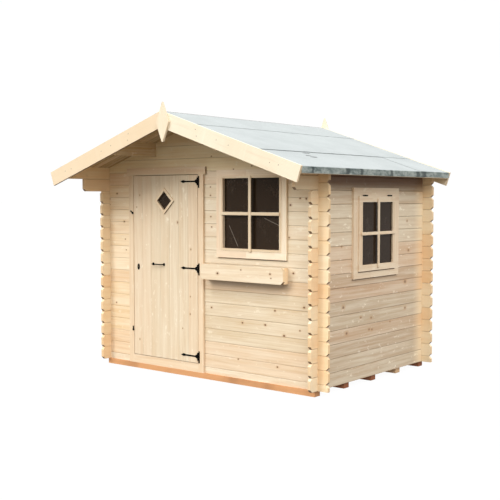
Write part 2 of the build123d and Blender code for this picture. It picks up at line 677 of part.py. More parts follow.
with BuildPart() as door_frame_head:
    head_foot = LEAF_TOP + LEAF_GAP
    head_length = 2 * (jamb_inner + DOOR_CASING_WIDTH + HEAD_CASING_OVERHANG)
    lining_top = front_course(DOOR_HEAD_COURSES) - 2 * JOINT_FIT
    with BuildSketch(Plane.XZ.offset(-LEAF_FACE_Y)):
        with Locations((DOOR_CENTRE, head_foot)):
            Rectangle(head_length, HEAD_CASING_HEIGHT, align=(Align.CENTER, Align.MIN))
    extrude(amount=LEAF_FACE_Y - casing_back_y)
    with BuildSketch(Plane.XZ.offset(-casing_back_y)):
        with Locations((DOOR_CENTRE, head_foot)):
            Rectangle(2 * (jamb_inner + JAMB_LINING), lining_top - head_foot, align=(Align.CENTER, Align.MIN))
    extrude(amount=casing_back_y - wall_back_y)
save(door_frame_head, "door_frame_head")

with BuildPart() as door_frame_foot:
    foot_width = 2 * (jamb_inner - JOINT_FIT)
    with BuildSketch(Plane.XZ.offset(-LEAF_FACE_Y)):
        with Locations((DOOR_CENTRE, FOOT)):
            Rectangle(foot_width, DOOR_FOOT_HEIGHT, align=(Align.CENTER, Align.MIN))
    extrude(amount=LEAF_FACE_Y - casing_back_y)
    with BuildSketch(Plane.XZ.offset(-casing_back_y)):
        with Locations((DOOR_CENTRE, front_course(0))):
            Rectangle(foot_width - 2 * DOOR_STOP, FOOT + DOOR_FOOT_HEIGHT - front_course(0),
                      align=(Align.CENTER, Align.MIN))
    extrude(amount=casing_back_y - wall_back_y)
save(door_frame_foot, "door_frame_foot")

# ---------------------------------------------------------------- door leaf

leaf_pitch = LEAF_WIDTH / LEAF_BOARDS
diamond_centre = (DOOR_CENTRE, FOOT + DIAMOND_HEIGHT)

with BuildPart() as door_boards:
    with BuildSketch(Plane.XZ.offset(-LEAF_FACE_Y)):
        with Locations((DOOR_CENTRE, LEAF_FOOT + LEAF_HEIGHT / 2)):
            with GridLocations(leaf_pitch, 0, LEAF_BOARDS, 1):
                Rectangle(leaf_pitch - JOINT_FIT, LEAF_HEIGHT)
    extrude(amount=-LEAF_BOARD_THICKNESS)
    front_edges = faces().filter_by(Axis.Y).group_by(Axis.Y)[0].edges().filter_by(Axis.Z)
    chamfer(front_edges, length=LEAF_VEE)
    with BuildSketch(Plane.XZ.offset(-LEAF_FACE_Y)):
        with Locations(diamond_centre):
            Rectangle(DIAMOND_SIDE, DIAMOND_SIDE, rotation=45)
    extrude(amount=-LEAF_BOARD_THICKNESS, mode=Mode.SUBTRACT)
save(door_boards, "door_boards")

ledge_y = LEAF_FACE_Y + LEAF_BOARD_THICKNESS + JOINT_FIT
ledge_span = LEAF_WIDTH - 2 * LEDGE_INSET
with BuildPart() as door_ledges:
    with BuildSketch(Plane.XZ.offset(-ledge_y)):
        for low, high in zip(HINGE_HEIGHTS, HINGE_HEIGHTS[1:]):
            rise = high - low - LEDGE_HEIGHT
            lean = degrees(atan2(rise, -(ledge_span - BRACE_WIDTH)))
            with Locations((DOOR_CENTRE, FOOT + (low + high) / 2)):
                Rectangle(ledge_span * 2, BRACE_WIDTH, rotation=lean)
        with Locations(*[(DOOR_CENTRE, FOOT + height) for height in HINGE_HEIGHTS]):
            Rectangle(ledge_span * 3, LEDGE_HEIGHT + 2 * JOINT_FIT, mode=Mode.SUBTRACT)
        with Locations((DOOR_CENTRE, LEAF_FOOT + LEAF_HEIGHT / 2)):
            Rectangle(ledge_span, HINGE_HEIGHTS[-1] - HINGE_HEIGHTS[0], mode=Mode.INTERSECT)
        with Locations(*[(DOOR_CENTRE, FOOT + height) for height in HINGE_HEIGHTS]):
            Rectangle(ledge_span, LEDGE_HEIGHT)
    extrude(amount=-LEDGE_THICKNESS)
save(door_ledges, "door_ledges")

with BuildPart() as door_window_trim:
    with BuildSketch(Plane.XZ.offset(-LEAF_FACE_Y + JOINT_FIT)):
        with Locations(diamond_centre):
            Rectangle(DIAMOND_TRIM_SIDE, DIAMOND_TRIM_SIDE, rotation=45)
            Rectangle(DIAMOND_SIDE, DIAMOND_SIDE, rotation=45, mode=Mode.SUBTRACT)
    extrude(amount=DIAMOND_TRIM_THICKNESS)
save(door_window_trim, "door_window_trim")

with BuildPart() as door_window_glass:
    with BuildSketch(Plane.XZ.offset(-LEAF_FACE_Y - LEAF_BOARD_THICKNESS / 2)):
        with Locations(diamond_centre):
            pane = DIAMOND_SIDE - 2 * JOINT_FIT
            Rectangle(pane, pane, rotation=45)
    extrude(amount=-GLASS_THICKNESS)
save(door_window_glass, "door_window_glass")

# ---------------------------------------------------------------- hinges

strap_back_y = LEAF_FACE_Y - JOINT_FIT
strap_half_knuckle = STRAP_ROOT_WIDTH / 2
plate_knuckle_low = strap_half_knuckle + JOINT_FIT


def strap_outline(height):
    """The strap of a T hinge in the front view, from the pin to its spear point."""
    root = STRAP_ROOT_WIDTH / 2
    neck = STRAP_NECK_WIDTH / 2
    spear = SPEAR_WIDTH / 2
    tip = PIN_X - STRAP_LENGTH
    upper = [(PIN_X, root), (PIN_X - STRAP_ROOT_LENGTH / 4, root), (PIN_X - STRAP_ROOT_LENGTH, neck),
             (tip + 1.3 * SPEAR_LENGTH, neck), (tip + 0.7 * SPEAR_LENGTH, spear), (tip, 0)]
    lower = [(x, -z) for x, z in reversed(upper[:-1])]
    return [(x, height + z) for x, z in upper + lower]


with BuildPart() as hinge_straps:
    for height in HINGE_HEIGHTS:
        level = FOOT + height
        with BuildSketch(Plane.XZ.offset(-strap_back_y)):
            with BuildLine():
                Polyline(*strap_outline(level), close=True)
            make_face()
        extrude(amount=STRAP_THICKNESS)
        with BuildSketch(Plane.XY.offset(level - strap_half_knuckle)):
            with Locations((PIN_X, PIN_Y)):
                Circle(KNUCKLE_RADIUS - JOINT_FIT)
        extrude(amount=STRAP_ROOT_WIDTH)
        with BuildSketch(Plane.XY.offset(level - strap_half_knuckle)):
            with Locations((PIN_X, PIN_Y)):
                Circle(HINGE_PIN_RADIUS + PIN_FIT)
        extrude(amount=STRAP_ROOT_WIDTH, mode=Mode.SUBTRACT)
save(hinge_straps, "hinge_straps")

with BuildPart() as hinge_plates:
    for height in HINGE_HEIGHTS:
        level = FOOT + height
        with BuildSketch(Plane.XZ.offset(-strap_back_y)):
            with Locations((PIN_X + KNUCKLE_RADIUS, level - HINGE_PLATE_DROP)):
                Rectangle(HINGE_PLATE_WIDTH, HINGE_PLATE_HEIGHT, align=(Align.MIN, Align.CENTER))
            for side in (-1, 1):
                with Locations((PIN_X, level + side * (plate_knuckle_low + KNUCKLE_END_HEIGHT / 2))):
                    Rectangle(2 * KNUCKLE_RADIUS + 2, KNUCKLE_END_HEIGHT, align=(Align.MIN, Align.CENTER))
        extrude(amount=STRAP_THICKNESS)
        for side in (-1, 1):
            bottom = level + side * (plate_knuckle_low + KNUCKLE_END_HEIGHT / 2) - KNUCKLE_END_HEIGHT / 2
            with BuildSketch(Plane.XY.offset(bottom)):
                with Locations((PIN_X, PIN_Y)):
                    Circle(KNUCKLE_RADIUS - JOINT_FIT)
            extrude(amount=KNUCKLE_END_HEIGHT)
        pin_reach = plate_knuckle_low + KNUCKLE_END_HEIGHT
        with BuildSketch(Plane.XY.offset(level - pin_reach)):
            with Locations((PIN_X, PIN_Y)):
                Circle(HINGE_PIN_RADIUS)
        extrude(amount=2 * pin_reach)
save(hinge_plates, "hinge_plates")

# ---------------------------------------------------------------- door furniture

handle_x = DOOR_CENTRE - HANDLE_OFFSET
handle_half = HANDLE_LENGTH / 2 - HANDLE_FOOT_RADIUS
handle_z = FOOT + HANDLE_HEIGHT
furniture_y = LEAF_FACE_Y - JOINT_FIT
with BuildPart() as door_handle:
    with BuildSketch(Plane.XZ.offset(-furniture_y)):
        with Locations((handle_x - handle_half, handle_z), (handle_x + handle_half, handle_z)):
            Circle(HANDLE_FOOT_RADIUS)
    extrude(amount=HANDLE_FOOT_THICKNESS)
    root_y = furniture_y - HANDLE_FOOT_THICKNESS / 2
    grip_y = furniture_y - HANDLE_REACH + HANDLE_RADIUS
    with BuildLine() as grip_path:
        FilletPolyline((handle_x - handle_half, root_y, handle_z), (handle_x - handle_half, grip_y, handle_z),
                       (handle_x + handle_half, grip_y, handle_z), (handle_x + handle_half, root_y, handle_z),
                       radius=3 * HANDLE_RADIUS)
    with BuildSketch(Plane(origin=(handle_x - handle_half, root_y, handle_z), z_dir=(0, -1, 0))):
        RegularPolygon(HANDLE_RADIUS, 8)
    sweep(path=grip_path.wires()[0], transition=Transition.ROUND)
save(door_handle, "door_handle")

with BuildPart() as keyhole_plate:
    with BuildSketch(Plane.XZ.offset(-furniture_y)):
        with Locations((LEAF_LEFT + KEYHOLE_INSET, FOOT + KEYHOLE_HEIGHT)):
            Ellipse(KEYHOLE_PLATE_WIDTH / 2, KEYHOLE_PLATE_HEIGHT / 2)
            with Locations((0, KEYHOLE_PLATE_HEIGHT / 10)):
                Circle(KEYHOLE_PLATE_WIDTH / 8, mode=Mode.SUBTRACT)
            Rectangle(KEYHOLE_PLATE_WIDTH / 8, KEYHOLE_PLATE_HEIGHT / 4, mode=Mode.SUBTRACT)
    extrude(amount=KEYHOLE_PLATE_THICKNESS)
save(keyhole_plate, "keyhole_plate")


def turn_button(pivot, angle):
    """A turn button on its own pin, lying at an angle seen from the front."""
    turn = radians(angle)
    arm_middle = (pivot[0] + BUTTON_LONG_ARM / 2 * cos(turn), pivot[1] + BUTTON_LONG_ARM / 2 * sin(turn))
    face_y = LEAF_FACE_Y - BUTTON_GAP
    with BuildPart() as button:
        with BuildSketch(Plane.XZ.offset(-face_y)):
            with Locations(pivot):
                Circle(BUTTON_SHORT_ARM)
            with Locations(arm_middle):
                Rectangle(BUTTON_LONG_ARM, BUTTON_WIDTH, rotation=angle)
        extrude(amount=BUTTON_THICKNESS)
        with BuildSketch(Plane.XZ.offset(-face_y + BUTTON_THICKNESS)):
            with Locations(pivot):
                Circle(BUTTON_HEAD_RADIUS)
        extrude(amount=BUTTON_THICKNESS / 2)
        with BuildSketch(Plane.XZ.offset(-face_y)):
            with Locations(pivot):
                Circle(BUTTON_PIN_RADIUS)
        extrude(amount=-BUTTON_PIN_DEPTH)
    return button


save(turn_button(upper_pivot, UPPER_BUTTON_ANGLE), "upper_turn_button")
save(turn_button(lower_pivot, LOWER_BUTTON_ANGLE), "lower_turn_button")

# ---------------------------------------------------------------- window box

box_middle = BOX_LEFT + BOX_LENGTH / 2
box_foot = FOOT + BOX_FOOT
box_back_y = FRONT_FACE_Y - JOINT_FIT
with BuildPart() as window_box_front:
    with BuildSketch(Plane.XZ.offset(-(FRONT_FACE_Y - BOX_DEPTH))):
        with Locations((box_middle, box_foot + BOX_HEIGHT / 2)):
            Rectangle(BOX_LENGTH, BOX_HEIGHT)
        chamfer(vertices(), length=BOX_CORNER)
    extrude(amount=-LOG_THICKNESS)
save(window_box_front, "window_box_front")

tray_front_y = FRONT_FACE_Y - BOX_DEPTH + LOG_THICKNESS + JOINT_FIT
tray_depth = box_back_y - tray_front_y
with BuildPart() as window_box_tray:
    with BuildSketch(Plane.YZ.offset(BOX_LEFT + BOX_END_INSET)):
        with Locations((tray_front_y, box_foot)):
            Rectangle(tray_depth, BOX_HEIGHT, align=(Align.MIN, Align.MIN))
    extrude(amount=BOX_LENGTH - 2 * BOX_END_INSET)
    inner_length = BOX_LENGTH - 2 * (BOX_END_INSET + BOX_BOARD)
    with BuildSketch(Plane.XY.offset(box_foot + BOX_BOARD)):
        with Locations((box_middle, tray_front_y + tray_depth / 2)):
            Rectangle(inner_length, tray_depth)
    extrude(amount=BOX_HEIGHT, mode=Mode.SUBTRACT)
save(window_box_tray, "window_box_tray")
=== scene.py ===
"""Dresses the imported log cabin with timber, felt, glass and ironwork, and adds its small trim."""
import logging
import math
from collections.abc import Iterable, Sequence
from dataclasses import dataclass, replace
from enum import Enum

import bpy
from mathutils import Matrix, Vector


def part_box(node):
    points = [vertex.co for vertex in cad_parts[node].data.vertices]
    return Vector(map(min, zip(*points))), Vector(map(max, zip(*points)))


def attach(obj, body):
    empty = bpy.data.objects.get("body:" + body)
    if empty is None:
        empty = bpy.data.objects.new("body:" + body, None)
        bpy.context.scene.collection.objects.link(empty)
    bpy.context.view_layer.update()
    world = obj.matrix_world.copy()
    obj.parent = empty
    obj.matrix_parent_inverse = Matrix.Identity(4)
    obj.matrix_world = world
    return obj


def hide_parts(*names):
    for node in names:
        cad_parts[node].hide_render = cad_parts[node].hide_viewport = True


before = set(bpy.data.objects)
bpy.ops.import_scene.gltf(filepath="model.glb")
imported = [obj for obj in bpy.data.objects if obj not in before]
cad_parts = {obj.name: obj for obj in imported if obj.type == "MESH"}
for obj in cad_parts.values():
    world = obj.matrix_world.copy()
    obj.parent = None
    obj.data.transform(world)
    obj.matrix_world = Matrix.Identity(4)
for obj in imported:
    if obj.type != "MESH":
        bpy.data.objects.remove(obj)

LOG = logging.getLogger("cabin")

Colour = tuple[float, float, float]
Point = tuple[float, float, float]
Span = tuple[float, float]
Knot = tuple[float, float, float]       # two places on the board's face, and the radius

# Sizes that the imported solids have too, in metres and radians
LOG_PITCH = 0.114           # height of a course of logs
LOG_FOOT = 0.048            # top of the bearers, where the walls start
ROOF_PITCH = math.radians(18.66)

# Sizes of the trim, in metres
TRIM_FIT = 0.0003           # gap between pieces of trim that meet
BAR_ROUNDING = 0.003        # how far the edges of a glazing bar are rounded

# Bodies that pieces ride on
BODY_CABIN = "cabin"
BODY_DOOR = "door"


def srgb(red: int, green: int, blue: int) -> Colour:
    """Turn a colour of 0 to 255 as a paint card gives it into linear light.

    Args:
        red: Red, 0 to 255.
        green: Green, 0 to 255.
        blue: Blue, 0 to 255.

    Returns:
        The three linear parts.
    """
    parts = (value / 255 for value in (red, green, blue))
    return tuple(part / 12.92 if part <= 0.04045 else ((part + 0.055) / 1.055) ** 2.4 for part in parts)


# Colours that several kinds of timber share
WOOD_DARK = srgb(176, 138, 94)
WOOD_SAP = srgb(244, 234, 214)
# Painted shade: laid in the grooves between boards, in lines under edges and on faces that look down.
WOOD_SHADE = srgb(98, 66, 36)
# Painted shadow below the eave and under the window box.
PAINTED_SHADOW_BROWN = srgb(90, 50, 12)
WOOD_ROSY_END = srgb(238, 194, 142)
KNOT_RIM = srgb(186, 138, 88)
KNOT_CORE = srgb(104, 68, 40)
KNOT_HEART = srgb(58, 36, 22)
TRIM_PALE = srgb(232, 214, 184)
TRIM_WARM = srgb(220, 194, 158)

# The figure of the wood
KNOTS_PER_METRE = 3.2
KNOT_STRETCH = 0.75         # distances along the board count for this much, so that knots are long
KNOT_FAR = 50.0             # a distance, in knot radii, at which nothing shows
KNOT_SMALLEST = 0.004       # radius of the smallest knot of chance
KNOT_SPREAD = 0.009         # how much larger the largest one is
RINGS_PER_METRE = 120.0
RING_HEART = 0.045          # how far the heart of the rings lies off zero, on the axis into the boards
BOARD_RUN = 7.0             # how far along the trunk two boards may be apart
BOARD_SEEDS = (3.7, 11.3, 23.9)     # for a board's tone, its figure and its blush
SHADE_BLEND = 0.06          # length over which the shade below an edge starts and ends
LINE_BLEND = 0.004          # the same for a dark line


# ---------------------------------------------------------------- shader building


class Socket:
    """One value in a node tree, with arithmetic that adds Math nodes."""

    def __init__(self, shader: "Shader", socket: bpy.types.NodeSocket) -> None:
        """Keep the socket and the shader it belongs to."""
        self.shader = shader
        self.socket = socket

    def sibling(self, name: str) -> "Socket":
        """Give another output of the same node."""
        return Socket(self.shader, self.socket.node.outputs[name])

    def _math(self, operation: str, *values: "Socket | float", clamp: bool = False) -> "Socket":
        """Add a Math node over these values."""
        settings = {"operation": operation, "use_clamp": clamp}
        return self.shader.node("ShaderNodeMath", settings, dict(enumerate(values)))

    def __add__(self, other: "Socket | float") -> "Socket":
        """Add."""
        return self._math("ADD", self, other)

    def __radd__(self, other: float) -> "Socket":
        """Add, with the number first."""
        return self._math("ADD", other, self)

    def __sub__(self, other: "Socket | float") -> "Socket":
        """Subtract."""
        return self._math("SUBTRACT", self, other)

    def __rsub__(self, other: float) -> "Socket":
        """Subtract this from a number."""
        return self._math("SUBTRACT", other, self)

    def __mul__(self, other: "Socket | float") -> "Socket":
        """Multiply."""
        return self._math("MULTIPLY", self, other)

    def __rmul__(self, other: float) -> "Socket":
        """Multiply, with the number first."""
        return self._math("MULTIPLY", other, self)

    def __truediv__(self, other: "Socket | float") -> "Socket":
        """Divide."""
        return self._math("DIVIDE", self, other)

    def __rtruediv__(self, other: float) -> "Socket":
        """Divide a number by this."""
        return self._math("DIVIDE", other, self)

    def __pow__(self, other: "Socket | float") -> "Socket":
        """Raise to a power."""
        return self._math("POWER", self, other)

    def __rpow__(self, other: float) -> "Socket":
        """Raise a number to this power."""
        return self._math("POWER", other, self)

    def __abs__(self) -> "Socket":
        """Drop the sign."""
        return self._math("ABSOLUTE", self)

    def floor(self) -> "Socket":
        """Round down."""
        return self._math("FLOOR", self)

    def sine(self) -> "Socket":
        """Take the sine."""
        return self._math("SINE", self)

    def root(self) -> "Socket":
        """Take the square root."""
        return self._math("SQRT", self)

    def least(self, other: "Socket | float") -> "Socket":
        """Keep the smaller of two values."""
        return self._math("MINIMUM", self, other)

    def most(self, other: "Socket | float") -> "Socket":
        """Keep the larger of two values."""
        return self._math("MAXIMUM", self, other)

    def clamp(self) -> "Socket":
        """Hold the value between 0 and 1."""
        return self._math("ADD", self, 0.0, clamp=True)

    def above(self, edge: "Socket | float") -> "Socket":
        """Give 1 where the value is above the edge, and 0 elsewhere."""
        return self._math("GREATER_THAN", self, edge)

    def smooth(self, low: float, high: float) -> "Socket":
        """Rise smoothly from 0 at one value to 1 at another.

        Args:
            low: Where the result is 0.
            high: Where the result is 1; it may be below the other.

        Returns:
            The smoothed step.
        """
        settings = {"interpolation_type": "SMOOTHSTEP", "clamp": True}
        if low < high:
            values = {"Value": self, "From Min": low, "From Max": high, "To Min": 0.0, "To Max": 1.0}
        else:
            values = {"Value": self, "From Min": high, "From Max": low, "To Min": 1.0, "To Max": 0.0}
        return self.shader.node("ShaderNodeMapRange", settings, values)

    def inside(self, low: float, high: float, blend: float) -> "Socket":
        """Give 1 between two values, and 0 outside them.

        Args:
            low: Where it starts to rise.
            high: Where it is back at 0.
            blend: How far it takes to rise and to fall.

        Returns:
            The mask.
        """
        return self.smooth(low, low + blend) * self.smooth(high, high - blend)


class Shader:
    """The node tree of one material or sky, built by calls."""

    def __init__(self, name: str, sky: bool = False) -> None:
        """Make an empty material or sky.

        Args:
            name: Its name.
            sky: Whether it is a sky.
        """
        self.owner = (bpy.data.worlds if sky else bpy.data.materials).new(name)
        self.owner.use_nodes = True
        self.tree = self.owner.node_tree
        self.tree.nodes.clear()

    def node(self, kind: str, settings: dict, inputs: dict, output: int | str = 0) -> Socket:
        """Add one node.

        Args:
            kind: The node's type.
            settings: Its properties, set before its sockets are filled.
            inputs: What goes into its sockets, by name or number: numbers or sockets.
            output: The output that is wanted.

        Returns:
            The wanted output.
        """
        made = self.tree.nodes.new(kind)
        for key, value in settings.items():
            if key == "stops":
                self.fill_ramp(made.color_ramp, value)
            else:
                setattr(made, key, value)
        for key, value in inputs.items():
            if isinstance(value, Socket):
                self.tree.links.new(value.socket, made.inputs[key])
            else:
                made.inputs[key].default_value = value
        return Socket(self, made.outputs[output])

    @staticmethod
    def fill_ramp(ramp: bpy.types.ColorRamp, stops: Sequence[tuple[float, Colour]]) -> None:
        """Give a colour ramp its stops.

        Args:
            ramp: The ramp.
            stops: Its places, 0 to 1, each with its colour.
        """
        while len(ramp.elements) < len(stops):
            ramp.elements.new(1.0)
        for element, (place, colour) in zip(ramp.elements, stops):
            element.position = place
            element.color = (*colour, 1.0)

    def coordinates(self) -> Socket:
        """Give the object coordinates."""
        return self.node("ShaderNodeTexCoord", {}, {}, "Object")

    def normal(self) -> Socket:
        """Give the surface direction in the object's own axes."""
        return self.node("ShaderNodeTexCoord", {}, {}, "Normal")

    def parts(self, vector: Socket) -> tuple[Socket, Socket, Socket]:
        """Split a vector in its three parts.

        Args:
            vector: The vector.

        Returns:
            Its X, Y and Z.
        """
        split = self.node("ShaderNodeSeparateXYZ", {}, {0: vector}).socket.node
        return tuple(Socket(self, output) for output in split.outputs)

    def vector(self, x: "Socket | float", y: "Socket | float", z: "Socket | float") -> Socket:
        """Join three values in a vector."""
        return self.node("ShaderNodeCombineXYZ", {}, {0: x, 1: y, 2: z})

    def distance(self, first: Socket, second: "Socket | Point") -> Socket:
        """Give the distance between two places."""
        return self.node("ShaderNodeVectorMath", {"operation": "DISTANCE"}, {0: first, 1: second}, "Value")

    def noise(self, place: Socket, scale: float = 1.0, detail: float = 2.0, roughness: float = 0.5,
              distortion: float = 0.0) -> Socket:
        """Give smooth noise from 0 to 1.

        Args:
            place: Where the noise is read.
            scale: Lumps per unit.
            detail: How many finer layers lie over it.
            roughness: How strong the finer layers are.
            distortion: How far the lumps are pulled about.

        Returns:
            The noise.
        """
        values = {"Vector": place, "Scale": scale, "Detail": detail, "Roughness": roughness,
                  "Distortion": distortion}
        return self.node("ShaderNodeTexNoise", {}, values)

    def random(self, place: Socket) -> Socket:
        """Give one random value, 0 to 1, for each different place."""
        return self.node("ShaderNodeTexWhiteNoise", {"noise_dimensions": "3D"}, {"Vector": place}, "Value")

    def ramp(self, value: Socket, stops: Sequence[tuple[float, Colour]]) -> Socket:
        """Turn a value into a colour."""
        return self.node("ShaderNodeValToRGB", {"stops": stops}, {0: value})

    def mix(self, factor: "Socket | float", first: "Socket | Colour", second: "Socket | Colour",
            blend: str = "MIX") -> Socket:
        """Blend two colours.

        Args:
            factor: How much of the second shows.
            first: The colour below.
            second: The colour above.
            blend: How they are blended.

        Returns:
            The blended colour.
        """
        pair = [(*c, 1.0) if isinstance(c, tuple) else c for c in (first, second)]
        settings = {"data_type": "RGBA", "blend_type": blend}
        return self.node("ShaderNodeMix", settings, {0: factor, 6: pair[0], 7: pair[1]}, 2)

    def bump(self, height: Socket, strength: float, depth: float) -> Socket:
        """Give the normal of a raised surface.

        Args:
            height: The height, 0 to 1.
            strength: How far the bump shows.
            depth: What a height of 1 stands for, in metres.

        Returns:
            The bent normal.
        """
        return self.node("ShaderNodeBump", {}, {"Strength": strength, "Distance": depth, "Height": height})

    def finish(self, colour: "Socket | Colour", roughness: "Socket | float",
               **more: object) -> bpy.types.Material:
        """Close the tree with a Principled shader.

        Args:
            colour: The base colour.
            roughness: The roughness.
            more: Other sockets of the shader, with _ for a space.

        Returns:
            The material.
        """
        base = (*colour, 1.0) if isinstance(colour, tuple) else colour
        values = {"Base Color": base, "Roughness": roughness}
        values |= {key.replace("_", " "): value for key, value in more.items()}
        surface = self.node("ShaderNodeBsdfPrincipled", {}, values)
        self._close("ShaderNodeOutputMaterial", surface)
        return self.owner

    def finish_sky(self, colour: Socket) -> bpy.types.World:
        """Close the tree of a sky with its light."""
        self._close("ShaderNodeOutputWorld", self.node("ShaderNodeBackground", {}, {"Color": colour}))
        return self.owner

    def _close(self, kind: str, surface: Socket) -> None:
        """Link the last shader to an output node of this kind."""
        output = self.tree.nodes.new(kind)
        self.tree.links.new(surface.socket, output.inputs["Surface"])


# ---------------------------------------------------------------- finishes


class Grain(Enum):
    """The way the fibres of a board run."""

    ALONG_X = "along x"
    ALONG_Y = "along y"
    UP_FRONT = "up, on a board that faces the front"
    UP_SIDE = "up, on a board that faces the side"
    DOWN_ROOF = "down the slope of the roof"


@dataclass(frozen=True)
class Tail:
    """The fresh, bright ends of logs, past the corners; a long blend paints light on the wall before a
    corner.

    Attributes:
        near: Where the end on the low side starts, along the log.
        far: Where the end on the high side starts.
        near_blend: The length over which the first turns pale.
        far_blend: The length over which the second turns pale.
        pale: The colour of the palest ends.
        warm: The colour of the warmest ends.
    """

    near: float
    far: float
    near_blend: float = 0.012
    far_blend: float = 0.012
    pale: Colour = srgb(244, 224, 190)
    warm: Colour = srgb(238, 206, 160)


@dataclass(frozen=True)
class Line:
    """A level dark line, where an edge above it keeps the light off.

    Attributes:
        axis: The axis that it runs along.
        low: Where it starts.
        high: Where it ends.
        level: Its height.
        width: Its width.
    """

    axis: int
    low: float
    high: float
    level: float
    width: float = 0.008


@dataclass(frozen=True)
class Shade:
    """Painted shadow: timber painted brown below an edge that keeps the sun off, fading downwards.

    Attributes:
        axis: The axis that the edge runs along.
        low: Where it starts.
        high: Where it ends.
        top: The height from which the painted shadow is full.
        bottom: The height at which the painted shadow has faded out.
        depth: How dark the painted shadow is at the top.
        limit: The height above which no shadow is painted.
    """

    axis: int
    low: float
    high: float
    top: float
    bottom: float
    depth: float
    limit: float = 9.0


@dataclass(frozen=True)
class BoardPlace:
    """Where a point lies on its board, and the random values that are the board's own.

    Attributes:
        axes: The object coordinates X, Y and Z.
        along: Place on the axis along the fibres.
        across: Place on the axis across the fibres.
        depth: Place on the axis into the board.
        run: Place along the trunk that the board was sawn from.
        count: Boards from the first one to here, with this one's part as a fraction.
        number: The number of the board.
        side: 1 where the depth is above 0, and 0 elsewhere, so that opposite walls differ.
        tone: Random value for how warm the board is.
        figure: Random value for its streaks and rings.
        blush: Random value for how reddish it is.
    """

    axes: tuple[Socket, Socket, Socket]
    along: Socket
    across: Socket
    depth: Socket
    run: Socket
    count: Socket
    number: Socket
    side: Socket
    tone: Socket
    figure: Socket
    blush: Socket


@dataclass(frozen=True)
class Figure:
    """The figure of the wood at a point.

    Attributes:
        knot: How near the closest knot is, in knot radii.
        core: 1 in a knot, and 0 outside it.
        rings: The growth rings, 0 to 1.
        bands: Broad streaks along the fibres.
        fine: Fine streaks along the fibres.
        blotch: Cloudy patches.
        fibre: The fibres.
        warmth: How far the wood turns from its pale colour to its warm one.
    """

    knot: Socket
    core: Socket
    rings: Socket
    bands: Socket
    fine: Socket
    blotch: Socket
    fibre: Socket
    warmth: Socket


